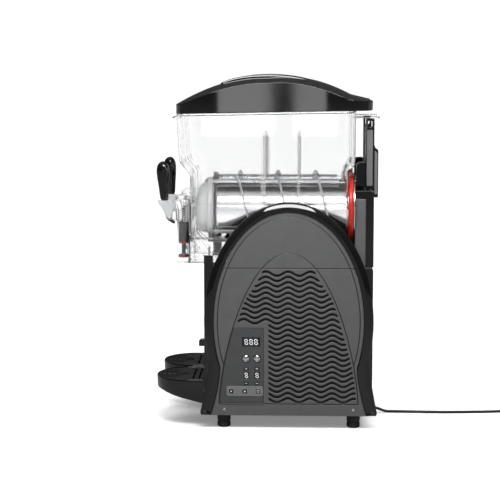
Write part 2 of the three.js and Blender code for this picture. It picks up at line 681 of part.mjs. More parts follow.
// Both bowl stations are alike, so the left one is the right one moved across.
const station = [
  ['evaporator', evaporator(BOWL_X), STEEL],
  ['gearmotor', gearmotor(BOWL_X), GALVANISED],
  ['auger', auger(BOWL_X), WHITE],
  ['bowl_gasket', gasket(BOWL_X), RED],
  ['bowl', bowl(BOWL_X), CLEAR],
  ['chute', chute(BOWL_X), CLEAR],
  ['tap_body', tapBody(BOWL_X), CLEAR],
  ['tap_piston', piston(BOWL_X), GLOSS_BLACK],
  ['tap_lever', lever(BOWL_X), GLOSS_BLACK],
  ['lid', lid(BOWL_X), GLOSS_BLACK],
  ['drip_tray', tray(BOWL_X), GLOSS_BLACK],
  ['drip_grille', grille(BOWL_X), GLOSS_BLACK],
  ['lid_mast', mast(BOWL_X), GLOSS_BLACK],
];
station.forEach(([name, geometry, material]) => {
  add(`${name}_right`, geometry, material);
  add(`${name}_left`, geometry, material).position.x = -2 * BOWL_X;
});

// ---------- mains cord ----------
function cableGland() {
  const clamp = box(-9, 9, 160, 186, 6, BASE_Z - GAP);
  const relief = turnedY([[0, 184], [8, 184], [8, 188], [5, 212], [0, 212]], 0, CORD_EXIT_Z, 12);
  return join(clamp, relief);
}

// Route of the lead where it is not coiled: out of its relief, down on the floor and away to the rear.
const CORD_ROUTE = [
  [0, CORD_EXIT_Y, CORD_EXIT_Z], [0, 218, 13.6], [0, 225, 12.2], [0, 232, 9.9], [0, 239, 7.2],
  [0, 246, 5], [0, 254, 3.9], [0, 268, CORD_Z], [1, 300, CORD_Z], [2.5, 335, CORD_Z],
  [3.5, 370, CORD_Z], [3, 405, CORD_Z], [1, 440, CORD_Z], [-2, 475, CORD_Z], [-5, 505, CORD_Z],
  [-10, 535, CORD_Z], [-19, 562, CORD_Z],
].map(([x, y, z]) => new THREE.Vector3(x, y, z));

function cordRun() {
  const path = new THREE.CatmullRomCurve3(CORD_ROUTE);
  const section = new THREE.Shape();
  section.absarc(0, 0, CORD_D / 2, 0, 2 * Math.PI);
  return new THREE.ExtrudeGeometry(section, { steps: 24, extrudePath: path, curveSegments: 4, bevelEnabled: false });
}

const cordCoil = () => turnedZ(ring(COIL_MID_R - COIL_HALF, COIL_MID_R + COIL_HALF, 0.3, COIL_TOP), 0, COIL_Y, 28);

// plug lying beside the coil, its axis along X where the last turn leaves the coil
function plug() {
  const y = COIL_Y + COIL_MID_R + 7.2;
  const z = 13.4;
  const sleeve = turned([[0, 0], [5, 0], [6.5, 14], [0, 14]], 12).rotateZ(-Math.PI / 2).translate(28.8, y, z);
  const body = alongX(rounded(y - 13, y + 13, 0.4, 26.4, 7), 38, 82, 3);
  const pins = [-7, 7].map((off) => rodX(2.4, 80, 101, y + off, z, 10));
  return join(body, sleeve, ...pins);
}

add('cable_gland', cableGland(), MATT_BLACK);
add('cord_run', cordRun(), MATT_BLACK);
add('cord_coil', cordCoil(), MATT_BLACK);
add('mains_plug', plug(), MATT_BLACK);

export default machine;
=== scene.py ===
"""Two-bowl slush machine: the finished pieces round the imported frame.

Lengths are written in millimetres, along Y from the middle of the arched side covers, as the
machine is drawn, and MM and arch_y turn them into the frame's metres.
"""
import math

import bmesh
import bpy
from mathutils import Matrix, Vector, geometry

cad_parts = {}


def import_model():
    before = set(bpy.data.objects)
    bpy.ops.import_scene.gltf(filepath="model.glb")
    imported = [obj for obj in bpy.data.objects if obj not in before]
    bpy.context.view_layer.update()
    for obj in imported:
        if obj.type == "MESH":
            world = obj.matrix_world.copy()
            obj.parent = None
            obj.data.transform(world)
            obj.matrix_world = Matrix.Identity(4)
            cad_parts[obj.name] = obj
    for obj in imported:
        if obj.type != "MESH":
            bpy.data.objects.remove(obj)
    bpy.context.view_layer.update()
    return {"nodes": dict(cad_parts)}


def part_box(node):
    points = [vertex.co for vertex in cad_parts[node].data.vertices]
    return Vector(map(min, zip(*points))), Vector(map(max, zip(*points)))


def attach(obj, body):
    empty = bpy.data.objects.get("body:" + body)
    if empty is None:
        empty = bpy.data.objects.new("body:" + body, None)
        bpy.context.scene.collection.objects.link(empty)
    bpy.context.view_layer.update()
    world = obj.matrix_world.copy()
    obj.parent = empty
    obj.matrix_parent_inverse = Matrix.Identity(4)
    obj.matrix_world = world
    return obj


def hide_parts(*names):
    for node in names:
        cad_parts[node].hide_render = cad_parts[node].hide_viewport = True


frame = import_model()

# Camera: a little above the lids, out to the machine's right, turned slightly down and forwards.
MM = 0.001
band_low, band_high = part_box("side_band_right")
arch_y = (band_low[1] + band_high[1]) / 2
scene = bpy.context.scene
camera = bpy.data.objects.new("camera", bpy.data.cameras.new("camera"))
scene.collection.objects.link(camera)
camera.location = (4.016, arch_y + 0.052, 0.896)
camera.rotation_mode = "QUATERNION"
camera.rotation_quaternion = Vector((-1, -0.0384, -0.1181)).to_track_quat("-Z", "Y")
camera.data.lens = 113.7
camera.data.sensor_width = 36
scene.camera = camera


# Cord: a black PVC-sheathed lead, pushed through a rubber relief under the base. It runs
# away over the floor, and the rest of its length is wound into a coil beside its plug.
def noise_pair(tree, scale, detail, vector):
    noise = tree.nodes.new("ShaderNodeTexNoise")
    noise.inputs["Scale"].default_value = scale
    noise.inputs["Detail"].default_value = detail
    tree.links.new(vector, noise.inputs["Vector"])
    return noise.outputs["Fac"]


def new_group(name, inputs, outputs):
    group = bpy.data.node_groups.new(name, "ShaderNodeTree")
    for label, value in inputs:
        socket = group.interface.new_socket(label, in_out="INPUT", socket_type="NodeSocketFloat")
        socket.default_value = value
    for label in outputs:
        group.interface.new_socket(label, in_out="OUTPUT", socket_type="NodeSocketFloat")
    return group, group.nodes.new("NodeGroupInput"), group.nodes.new("NodeGroupOutput")


def math_node(tree, operation, first, second, third=None):
    node = tree.nodes.new("ShaderNodeMath")
    node.operation = operation
    for socket, value in zip(node.inputs, (first, second, third)):
        if isinstance(value, (int, float)):
            socket.default_value = value
        elif value is not None:
            tree.links.new(value, socket)
    return node.outputs[0]


def colour_mix(tree, factor, first, second):
    """Mixes two colours, each of them a value or the output of another node."""
    node = tree.nodes.new("ShaderNodeMix")
    node.data_type = "RGBA"
    tree.links.new(factor, node.inputs["Factor"])
    for label, colour in (("A", first), ("B", second)):
        if isinstance(colour, tuple):
            node.inputs[label].default_value = (*colour, 1)
        else:
            tree.links.new(colour, node.inputs[label])
    return node.outputs["Result"]


# moulded surface: fine grain for the bump and slow patches for the roughness
grain, grain_in, grain_out = new_group(
    "moulded_surface",
    [("Grain Scale", 900.0), ("Patch Scale", 14.0), ("Low Roughness", 0.2), ("High Roughness", 0.3)],
    ["Height", "Roughness"],
)
place_in = grain.nodes.new("ShaderNodeTexCoord").outputs["Object"]
fine = grain.nodes.new("ShaderNodeTexNoise")
fine.inputs["Detail"].default_value = 3
patches = grain.nodes.new("ShaderNodeTexNoise")
patches.inputs["Detail"].default_value = 6
for node, label in ((fine, "Grain Scale"), (patches, "Patch Scale")):
    grain.links.new(place_in, node.inputs["Vector"])
    grain.links.new(grain_in.outputs[label], node.inputs["Scale"])
rough_range = grain.nodes.new("ShaderNodeMapRange")
rough_range.inputs["From Min"].default_value = 0.35
rough_range.inputs["From Max"].default_value = 0.68
grain.links.new(patches.outputs["Fac"], rough_range.inputs["Value"])
grain.links.new(grain_in.outputs["Low Roughness"], rough_range.inputs["To Min"])
grain.links.new(grain_in.outputs["High Roughness"], rough_range.inputs["To Max"])
grain.links.new(fine.outputs["Fac"], grain_out.inputs["Height"])
grain.links.new(rough_range.outputs["Result"], grain_out.inputs["Roughness"])

# worn edges: where a slightly rounded normal turns away from the true one
wear, wear_in, wear_out = new_group("edge_wear", [("Radius", 0.0015)], ["Mask"])
rounding = wear.nodes.new("ShaderNodeBevel")
rounding.samples = 4
wear.links.new(wear_in.outputs["Radius"], rounding.inputs["Radius"])
true_normal = wear.nodes.new("ShaderNodeNewGeometry")
turn = wear.nodes.new("ShaderNodeVectorMath")
turn.operation = "DOT_PRODUCT"
wear.links.new(rounding.outputs["Normal"], turn.inputs[0])
wear.links.new(true_normal.outputs["Normal"], turn.inputs[1])
scuffs = noise_pair(wear, 160.0, 4.0, wear.nodes.new("ShaderNodeTexCoord").outputs["Object"])
edge = math_node(wear, "SUBTRACT", 1.0, turn.outputs["Value"])
edge = math_node(wear, "MULTIPLY", edge, scuffs)
wear.links.new(math_node(wear, "MINIMUM", edge, 1.0), wear_out.inputs["Mask"])

# dust: settles on faces that look up, thinned by a cloudy noise
dust, dust_in, dust_out = new_group("settled_dust", [("Amount", 0.1)], ["Mask"])
facing = dust.nodes.new("ShaderNodeSeparateXYZ")
dust.links.new(dust.nodes.new("ShaderNodeNewGeometry").outputs["Normal"], facing.inputs[0])
cloud = noise_pair(dust, 45.0, 8.0, dust.nodes.new("ShaderNodeTexCoord").outputs["Object"])
upward = math_node(dust, "MAXIMUM", facing.outputs["Z"], 0.0)
lying = math_node(dust, "MULTIPLY", math_node(dust, "MULTIPLY", upward, cloud), dust_in.outputs["Amount"])
dust.links.new(lying, dust_out.inputs["Mask"])


def finish(name, colour, rough=(0.2, 0.3), metallic=0.0, grain_scale=900.0, depth=0.00002,
           wear_colour=None, dusty=0.0, patch_scale=14.0):
    """A moulded or painted finish: grain in the bump, patchy roughness, worn edges and dust."""
    material = bpy.data.materials.new(name)
    material.use_nodes = True
    tree = material.node_tree
    shader = tree.nodes["Principled BSDF"]
    shader.inputs["Metallic"].default_value = metallic
    surface = tree.nodes.new("ShaderNodeGroup")
    surface.node_tree = grain
    surface.inputs["Grain Scale"].default_value = grain_scale
    surface.inputs["Patch Scale"].default_value = patch_scale
    surface.inputs["Low Roughness"].default_value = rough[0]
    surface.inputs["High Roughness"].default_value = rough[1]
    bump = tree.nodes.new("ShaderNodeBump")
    bump.inputs["Distance"].default_value = depth
    bump.inputs["Strength"].default_value = 0.6
    tree.links.new(surface.outputs["Height"], bump.inputs["Height"])
    tree.links.new(bump.outputs["Normal"], shader.inputs["Normal"])
    tree.links.new(surface.outputs["Roughness"], shader.inputs["Roughness"])
    slow = noise_pair(tree, 30.0, 5.0, tree.nodes.new("ShaderNodeTexCoord").outputs["Object"])
    painted = colour_mix(tree, slow, tuple(c * 0.86 for c in colour), tuple(min(1, c * 1.12) for c in colour))
    layers = []
    if wear_colour:
        worn = tree.nodes.new("ShaderNodeGroup")
        worn.node_tree = wear
        layers.append((worn, wear_colour))
    if dusty:
        lying_dust = tree.nodes.new("ShaderNodeGroup")
        lying_dust.node_tree = dust
        lying_dust.inputs["Amount"].default_value = dusty
        layers.append((lying_dust, (0.42, 0.4, 0.37)))
    for group, over in layers:
        painted = colour_mix(tree, group.outputs["Mask"], painted, over)
    tree.links.new(painted, shader.inputs["Base Color"])
    return material


def world(point):
    x, y, z = point
    return Vector((x * MM, y * MM + arch_y, z * MM))


def piece(name, points, faces, material, body="machine", sharp=35):
    """Makes a mesh piece from points in millimetres, faces outwards, and lets it ride on a body."""
    mesh = bpy.data.meshes.new(name)
    mesh.from_pydata([world(p) for p in points], [], faces)
    return settle(name, mesh, material, body, sharp)


def settle(name, mesh, material, body, sharp=35):
    bm = bmesh.new()
    bm.from_mesh(mesh)
    bmesh.ops.remove_doubles(bm, verts=bm.verts, dist=1e-6)
    bmesh.ops.dissolve_degenerate(bm, edges=bm.edges, dist=1e-7)
    bmesh.ops.recalc_face_normals(bm, faces=bm.faces)
    bm.to_mesh(mesh)
    bm.free()
    mesh.shade_smooth()
    mesh.set_sharp_from_angle(angle=math.radians(sharp))
    mesh.materials.clear()
    mesh.materials.append(material)
    obj = bpy.data.objects.new(name, mesh)
    scene.collection.objects.link(obj)
    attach(obj, body)
    return obj


def turned(name, profile, centre, axis, material, body="machine", steps=64, sharp=35):
    """A turned piece: profile of (radius, place along the axis), closed on the axis or on itself."""
    points, faces = [], []
    rows = len(profile)
    for step in range(steps):
        angle = 2 * math.pi * step / steps
        for radius, along in profile:
            u, v = radius * math.cos(angle), radius * math.sin(angle)
            points.append({"X": (along, u, v), "Y": (u, along, v), "Z": (u, v, along)}[axis])
    for step in range(steps):
        after = (step + 1) % steps
        for row in range(rows - 1):
            faces.append((step * rows + row, after * rows + row,
                          after * rows + row + 1, step * rows + row + 1))
    moved = [(p[0] + centre[0], p[1] + centre[1], p[2] + centre[2]) for p in points]
    return piece(name, moved, faces, material, body, sharp)


cable_black = finish("pvc_lead", (0.012, 0.012, 0.012), rough=(0.42, 0.55), grain_scale=500, dusty=0.15)
rubber_black = finish("black_rubber", (0.016, 0.016, 0.017), rough=(0.55, 0.72), grain_scale=700,
                      depth=0.00006, wear_colour=(0.05, 0.05, 0.05), dusty=0.2)
CORD_D = 7
CORD_Z = 3.8
COIL_Y = 612
COIL_MID_R = 38.5
TURN_STEP = 7.2
cord_points = [
    (0, 212.3, 14), (0, 218, 13.6), (0, 225, 12.2), (0, 232, 9.9), (0, 239, 7.2),
    (0, 246, 5), (0, 254, 3.9), (0, 268, CORD_Z), (1, 300, CORD_Z), (2.5, 335, CORD_Z),
    (3.5, 370, CORD_Z), (3, 405, CORD_Z), (1, 440, CORD_Z), (-2, 475, CORD_Z), (-5, 505, CORD_Z),
    (-10, 535, CORD_Z), (-19, 562, CORD_Z), (-37.5, 578.5, CORD_Z),
]
# inwards on the floor from 200 degrees, then two turns out again on top, to end at 90 degrees
TURNS_IN = 2 + (200 - 90) / 360
TURNS_OUT = 2
coil_steps = round(24 * (TURNS_IN + TURNS_OUT))
for step in range(coil_steps + 1):
    turns = (TURNS_IN + TURNS_OUT) * step / coil_steps
    angle = math.radians(200) - 2 * math.pi * turns
    radius = COIL_MID_R + TURN_STEP * (abs(turns - TURNS_IN) - 1)
    layer = CORD_Z + CORD_D * min(max((turns - TURNS_IN) / 0.6 + 0.5, 0), 1)
    cord_points.append((radius * math.cos(angle), COIL_Y + radius * math.sin(angle), layer))
for x, z in ((8, 11.2), (18, 12.3), (29.2, 13.4)):
    cord_points.append((x, COIL_Y + COIL_MID_R + TURN_STEP, z))
cord_curve = bpy.data.curves.new("mains_lead", "CURVE")
cord_curve.dimensions = "3D"
cord_curve.bevel_depth = CORD_D / 2 * MM
cord_curve.bevel_resolution = 4
cord_curve.use_fill_caps = True
cord_curve.resolution_u = 6
spline = cord_curve.splines.new("BEZIER")
spline.bezier_points.add(len(cord_points) - 1)
for knot, point in zip(spline.bezier_points, cord_points):
    knot.co = world(point)
    knot.handle_left_type = knot.handle_right_type = "AUTO"
cord_curve.materials.append(cable_black)
mains_lead = bpy.data.objects.new("mains_lead", cord_curve)
scene.collection.objects.link(mains_lead)
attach(mains_lead, "machine")
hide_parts("cord_run", "cord_coil")

# Feet: four moulded rubber feet with two grip grooves, screwed up into the corners of the pan.
foot_profile = [(0, 0), (12.5, 0), (14.2, 0.5), (16.1, 2.4), (16.5, 4), (16.5, 11.2), (16.1, 12.4),
                (15, 13.4), (14.8, 14.6), (15, 15.8), (16.1, 16.6), (16.5, 17.6), (16.5, 26), (15.9, 27.6),
                (12.4, 30), (12, 30.8), (12, 33.6), (0, 33.6)]
for number, (x, y) in enumerate(((165, -160.5), (165, 160.5), (-165, -160.5), (-165, 160.5)), 1):
    rubber_foot = turned(f"rubber_foot_{number}", foot_profile, (x, y, 0), "Z", rubber_black)
    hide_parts(f"foot_{number}")


# Base pan, deck and cooling unit: folded zinc-coated sheet with the compressor, condenser and
# fan bolted to it. They show only through the louvres.
zinc_sheet = finish("zinc_sheet", (0.36, 0.37, 0.38), rough=(0.32, 0.5), metallic=1.0, grain_scale=240,
                    depth=0.00003, dusty=0.3, patch_scale=60)
matt_black = finish("matt_black_paint", (0.02, 0.02, 0.021), rough=(0.55, 0.7), grain_scale=600,
                    depth=0.00005, wear_colour=(0.09, 0.09, 0.09), dusty=0.25)
fan_alloy = finish("fan_alloy", (0.55, 0.56, 0.57), rough=(0.25, 0.42), metallic=1.0, dusty=0.35)
inside_finishes = {
    "base_pan": zinc_sheet, "top_deck": matt_black, "compressor": matt_black, "condenser": fan_alloy,
    "fan_motor": matt_black, "fan_blades": fan_alloy, "gearmotor_right": zinc_sheet,
    "gearmotor_left": zinc_sheet,
}
for node, material in inside_finishes.items():
    frame["nodes"][node].material_slots[0].material = material


# Arched side bands: one-piece gloss black mouldings, thick and round-edged, that run up the rear
# edge, over the top and down the front, and clip over the side panels.
def round_about(points, radius, steps=6):
    """Rounds the corners of a closed outline."""
    rounded = []
    count = len(points)
    for i, corner in enumerate(points):
        before, here, after = (Vector(points[i - 1]), Vector(corner), Vector(points[(i + 1) % count]))
        reach = min(radius, (before - here).length * 0.45, (after - here).length * 0.45)
        start = here + (before - here).normalized() * reach
        end = here + (after - here).normalized() * reach
        for step in range(steps + 1):
            t = step / steps
            rounded.append(tuple(start * (1 - t) ** 2 + here * 2 * t * (1 - t) + end * t * t))
    return rounded


def signed_area(points):
    return sum(p[0] * q[1] - q[0] * p[1] for p, q in zip(points, points[1:] + points[:1])) / 2


def drawn_in(points, inset, is_hole):
    """An outline moved inwards, into the plate's own material, by inset."""
    turn = (1 if signed_area(points) > 0 else -1) * (-1 if is_hole else 1)
    moved = []
    for i, here in enumerate(points):
        before, after = points[i - 1], points[(i + 1) % len(points)]
        first = Vector((here[0] - before[0], here[1] - before[1])).normalized()
        second = Vector((after[0] - here[0], after[1] - here[1])).normalized()
        normal = Vector((-(first.y + second.y), first.x + second.x)) * turn
        if normal.length < 1e-6:
            normal = Vector((-first.y, first.x)) * turn
        normal.normalize()
        spread = max(0.5, normal.dot(Vector((-first.y, first.x)) * turn))
        moved.append((here[0] + normal.x * inset / spread, here[1] + normal.y * inset / spread))
    return moved


def plate(name, outlines, low, high, axis, edge, material, body="machine", sharp=50, steps=3):
    """A plate between low and high along an axis. The first outline is its edge, the rest are
    holes, and all its corners are rounded by edge."""
    clean = []
    for line in outlines:
        kept = [p for i, p in enumerate(line) if math.dist(p, line[i - 1]) > 0.02]
        clean.append(kept)
    rings = []
    for step in range(steps + 1):
        a = math.pi / 2 * step / steps
        rings.append((edge * (1 - math.cos(a)), edge * (1 - math.sin(a))))
    rings = ([(inset, low + rise) for inset, rise in reversed(rings)]
             + [(inset, high - rise) for inset, rise in rings])
    points, faces = [], []

    def put(u, v, w):
        points.append({"X": (w, u, v), "Y": (u, w, v), "Z": (u, v, w)}[axis])

    for number, line in enumerate(clean):
        for row, (inset, level) in enumerate(rings):
            for u, v in drawn_in(line, inset, number > 0):
                put(u, v, level)
            if row:
                count = len(line)
                above, below = len(points) - count, len(points) - 2 * count
                faces += [(below + k, below + (k + 1) % count, above + (k + 1) % count,
                           above + k) for k in range(count)]
    flat, loops = [], []
    for number, line in enumerate(clean):
        loop = [len(flat) + k for k in range(len(line))]
        loops.append(loop if signed_area(line) > 0 else loop[::-1])
        flat += [Vector(p) for p in drawn_in(line, edge, number > 0)]
    corners, _, cells, _, _, owners = geometry.delaunay_2d_cdt(flat, [], loops, 1, 1e-5)
    cells = [cell for cell, owner in zip(cells, owners) if owner == [0]]
    for level in (low, high):
        first = len(points)
        for u, v in corners:
            put(u, v, level)
        faces += [tuple(first + k for k in cell) for cell in cells]
    made = piece(name, points, faces, material, body, sharp)
    made.modifiers.new("flat_faces", "WEIGHTED_NORMAL").keep_sharp = True
    return made


BASE_Z = 34


def arch_line(ry, rz, waist_z, flare_y, foot_y, steps=72):
    """Outline of a side cover from its front foot, over the top, to its rear foot."""
    waist = math.asin((waist_z - 266) / rz)
    waist_y = ry * math.cos(waist)
    flare = Vector((flare_y, BASE_Z + 7))
    pull = Vector((waist_y + 2, (waist_z + BASE_Z) / 2 + 14))
    end = Vector((waist_y, waist_z))
    line = [(foot_y, BASE_Z)]
    for step in range(13):
        t = step / 12
        line.append(tuple(flare * (1 - t) ** 2 + pull * 2 * t * (1 - t) + end * t * t))
    for step in range(1, steps):
        angle = waist + (math.pi - 2 * waist) * step / steps
        line.append((ry * math.cos(angle), 266 + rz * math.sin(angle)))
    return line + [(-y, z) for y, z in reversed(line[:14])]


def hoops(rows, size):
    """The faces between each row of points and the next, all the way round."""
    return [(row * size + k, row * size + (k + 1) % size,
             (row + 1) * size + (k + 1) % size, (row + 1) * size + k)
            for row in range(rows) for k in range(size)]


gloss_black = finish("gloss_black_moulding", (0.0035, 0.0035, 0.0038), rough=(0.04, 0.07), grain_scale=420,
                     depth=0.000012, wear_colour=(0.06, 0.06, 0.06), dusty=0.05)
band_outer = arch_line(208, 296, 178, 218, 216)
band_inner = arch_line(184.3, 272.3, 153, 189.3, 190.3)
for side, low, high in (("right", 188.5, 203), ("left", -203, -188.5)):
    band_line = band_outer + band_inner[::-1]
    outer_count = len(band_outer)
    face_x = high if side == "right" else low
    outwards = 1 if side == "right" else -1
    points, faces = [], []
    # how far in from the outer and the inner edge, and how far below the face
    shoulder = ((0, 0, 14.5), (0, 0, 9.2), (0.5, 0.1, 7.4), (1.7, 0.3, 5.9), (3.6, 0.5, 4.5), (6.4, 0.7, 3.1),
                (9.2, 0.9, 1.9), (11.4, 1.1, 1.05), (12.8, 1.6, 0.5), (14, 2.4, 0.12), (15, 3.2, 0))
    for outer_in, inner_in, below in shoulder:
        by_outer = drawn_in(band_line, outer_in, False)
        by_inner = drawn_in(band_line, inner_in, False)
        for k in range(len(band_line)):
            y, z = (by_outer if k < outer_count else by_inner)[k]
            points.append((face_x - outwards * below, y, max(z, BASE_Z)))
    size = len(band_line)
    faces += hoops(len(shoulder) - 1, size)
    pairs = [(k, size - 1 - k) for k in range(outer_count)]
    for row in (0, len(shoulder) - 1):
        faces += [(row * size + a, row * size + b, row * size + d, row * size + c)
                  for (a, c), (b, d) in zip(pairs, pairs[1:])]
    band = piece(f"arched_band_{side}", points, faces, gloss_black)
    band.modifiers.new("flat_faces", "WEIGHTED_NORMAL").keep_sharp = True
    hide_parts(f"side_band_{side}")


# Side panels: satin grey metallic mouldings in two halves that meet at a seam under the cap.
# Fine grooves divide each into a rim, a crescent and the field with its rows of wavy louvres.
satin_grey = finish("satin_grey_metallic", (0.1, 0.101, 0.103), rough=(0.33, 0.4), metallic=0.2,
                    grain_scale=1500, depth=0.00002, wear_colour=(0.3, 0.3, 0.3), dusty=0.06)
# painted shadow: a near-black finish for sheets set behind slots, grooves and recesses, standing in for the
# shade inside them
slot_shadow = finish("painted_slot_shadow", (0.012, 0.012, 0.012), rough=(0.6, 0.8), dusty=0.1)
SEAM_Z = 400
SEAM_HALF = 0.9
GROOVE = 1.2
panel_outer = arch_line(184, 272, 153, 189, 190)


def field_half(z):
    return 171 * math.sqrt(max(0.0, 1 - max(0.0, (z - 63) / 374.5) ** 1.5))


def crescent_half(z):
    return 175 * math.sqrt(max(0.0, 1 - ((z - 266) / 260) ** 2))


def side_line(half, low, high, steps=60):
    """Heights spaced closer where the outline closes over at its top."""
    return [(half(z), z) for z in (low + (high - low) * math.sin(math.pi / 2 * s / steps)
                                   for s in range(steps + 1))]


def mirrored(line):
    return [(-y, z) for y, z in reversed(line)]


def louvre(z, front, rear, height=6.6, wave=54.3, rise=5.2):
    """A wavy slot with rounded ends."""
    steps = max(6, int((rear - front) / 2.6))
    line = []
    for s in range(steps + 1):
        y = front + (rear - front) * s / steps
        ease = min(1, min(y - front, rear - y) / 2.2)
        line.append((y, z + rise * math.cos(2 * math.pi * (y + 1.5) / wave),
                     height / 2 * (0.35 + 0.65 * ease)))
    return [(y, m + h) for y, m, h in line] + [(y, m - h) for y, m, h in reversed(line)]


def panel_zones(side, with_controls):
    low, high = (194.5, 197.5) if side == "right" else (-197.5, -194.5)
    upper_outer = [p for p in panel_outer if p[1] > SEAM_Z + SEAM_HALF]
    lower_front = [p for p in panel_outer if p[0] > 0 and p[1] < SEAM_Z - SEAM_HALF]
    top_y = 184 * math.sqrt(1 - ((SEAM_Z - 266) / 272) ** 2)
    ellipse_up = side_line(crescent_half, SEAM_Z + SEAM_HALF, 526)
    field_up = side_line(field_half, SEAM_Z + SEAM_HALF, 437.5)
    rim_up = ([(top_y, SEAM_Z + SEAM_HALF)] + upper_outer + [(-top_y, SEAM_Z + SEAM_HALF)]
              + [(-y - GROOVE, z) for y, z in ellipse_up[:-1]] + [(0, 526 + GROOVE)]
              + [(y + GROOVE, z) for y, z in ellipse_up[-2::-1]])
    crescent_up = ([(y - GROOVE, z) for y, z in ellipse_up[:-1]] + [(0, 526 - GROOVE)]
                   + [(-y + GROOVE, z) for y, z in ellipse_up[-2::-1]]
                   + [(-y - GROOVE, z) for y, z in field_up[:-1]] + [(0, 437.5 + GROOVE)]
                   + [(y + GROOVE, z) for y, z in field_up[-2::-1]])
    cap_up = ([(y - GROOVE, z) for y, z in field_up[:-1]] + [(0, 437.5 - GROOVE)]
              + [(-y + GROOVE, z) for y, z in field_up[-2::-1]])
    inner_low = [(max(field_half(z), crescent_half(z) if z > 155 else 0), z)
                 for z in (63 + (SEAM_Z - SEAM_HALF - 63) * s / 60 for s in range(61))]
    rim_low = (lower_front + [(top_y, SEAM_Z - SEAM_HALF)] + [(y + GROOVE, z) for y, z in reversed(inner_low)]
               + [(171 + GROOVE, 63 - GROOVE), (-171 - GROOVE, 63 - GROOVE)]
               + [(-y - GROOVE, z) for y, z in inner_low] + [(-top_y, SEAM_Z - SEAM_HALF)]
               + mirrored(lower_front))
    crescent_z = [158 + (SEAM_Z - SEAM_HALF - 158) * s / 48 for s in range(49)]
    crescent_low = ([(crescent_half(z) - GROOVE,
                      z) for z in crescent_z if crescent_half(z) - field_half(z) > 3]
                    + [(field_half(z) + GROOVE, z) for z in reversed(crescent_z)
                       if crescent_half(z) - field_half(z) > 3])
    field_z = [63 + GROOVE + (SEAM_Z - SEAM_HALF - 63 - GROOVE) * s / 48 for s in range(49)]
    field_low = ([(field_half(z) - GROOVE, z) for z in field_z]
                 + [(-field_half(z) + GROOVE, z) for z in reversed(field_z)])
    slots = []
    z = 391 - 4.2
    while z > 66:
        half = field_half(z + 8) - 4
        front = -50 if with_controls and z < 262 else -half
        slots.append(louvre(z, front, half))
        z -= 13.1
    if with_controls:
        # the field stops at the control panel: it is cut back along the panel's rear and top edges
        field_low = ([(field_half(z) - GROOVE, z) for z in field_z]
                     + [(-field_half(z) + GROOVE, z) for z in reversed(field_z) if z > 254]
                     + [(-field_half(252.6) + GROOVE, 252.6), (-61.4, 252.6), (-61.4, 63 + GROOVE)])
    zones = [("rim_cap", [rim_up]), ("crescent_cap", [crescent_up]), ("field_cap", [cap_up]),
             ("rim", [rim_low]), ("crescent_front", [mirrored(crescent_low)]),
             ("crescent_rear", [crescent_low]), ("louvre_field", [field_low] + slots)]
    for label, outlines in zones:
        plate(f"{label}_{side}", outlines, low, high, "X",
                            0.9 if label == "louvre_field" else 0.55,
                            satin_grey, steps=3)
    # the groove floor is painted shadow: it takes the near-black slot finish so the grooves between the zones
    # read as shaded
    back_low, back_high = (193.2, 195.9) if side == "right" else (-195.9, -193.2)
    groove_floor = [(y * 0.995, 266 + (z - 266) * 0.995) for y, z in panel_outer]
    field_whole = [(field_half(z), z) for z in field_z] + [(-field_half(z), z) for z in reversed(field_z)]
    field_hole = [(y * 0.97, 69 + (z - 63) * 0.97) for y, z in field_whole]
    plate(f"groove_floor_{side}", [groove_floor, field_hole], back_low, back_high,
                                 "X", 0.3, slot_shadow, steps=1)
    # a black sheet behind the louvres: painted shadow, so the slots read as deep shade
    shadow_sheet_low, shadow_sheet_high = (190.6, 192.4) if side == "right" else (-192.4, -190.6)
    shadow_sheet_edge = [(y * 0.99, 62 + (z - 62) * 0.995) for y, z in field_low
                   if not with_controls or y > -62 or z > 253]
    plate(f"louvre_filter_{side}", [shadow_sheet_edge], shadow_sheet_low, shadow_sheet_high, "X", 0.3,
                           slot_shadow, steps=1)
    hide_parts(f"side_cap_{side}")
    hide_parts(f"louvre_panel_{side}")


panel_zones("right", True)
panel_zones("left", False)

# Control panel: a satin grey moulding let into the lower front of the right side panel. It
# carries a display behind black glass, one-digit windows, round and bar keys, and a key strip.
fascia_front = [(-field_half(z) + 2.4, z) for z in (66 + 186 * s / 24 for s in range(25))]
fascia_outline = [(-62, 66), (-62, 252)] + fascia_front[::-1]
ROUND_KEYS = (("speed_key", -104.8), ("light_key", -77.5))
KEY_COLUMNS = (("right_bowl", -104.0), ("left_bowl", -77.6))
STRIP_KEYS = (("start_key", -141.0), ("mode_key", -107.5), ("power_key", -74.8))


def circle(y, z, radius, steps=40):
    return [(y + radius * math.cos(2 * math.pi * s / steps), z + radius * math.sin(2 * math.pi * s / steps))
            for s in range(steps)]


def rectangle(y0, y1, z0, z1, radius=0.0, steps=5):
    corners = [(y0, z0), (y1, z0), (y1, z1), (y0, z1)]
    return round_about(corners, radius, steps) if radius else corners


def small_key_rect(y, z, grow=0.0):
    return rectangle(y - 5.2 - grow, y + 5.2 + grow, z - 3.6 - grow, z + 3.6 + grow, 1.0, 3)


fascia_holes = [circle(y, 176, 8.6) for _, y in ROUND_KEYS]
for _, y in KEY_COLUMNS:
    fascia_holes += [small_key_rect(y, 151, 0.4), small_key_rect(y, 114.5, 0.4)]
    fascia_holes.append(rectangle(y - 6.6, y + 7.3, 125, 143.3, 1.2, 3))
fascia_grey = finish("fascia_grey", (0.062, 0.063, 0.065), rough=(0.36, 0.44), metallic=0.2,
                     grain_scale=1500, wear_colour=(0.3, 0.3, 0.3), dusty=0.04)
fascia = plate("control_fascia_plate", [fascia_outline] + fascia_holes
               + [rectangle(-153.6, -62.2, 81.4, 108.3, 5.4)] + [rectangle(-114, -69.8, 206.1, 229.3, 2)],
               194.7, 196.9, "X", 0.6, fascia_grey, steps=2)
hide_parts("control_fascia")
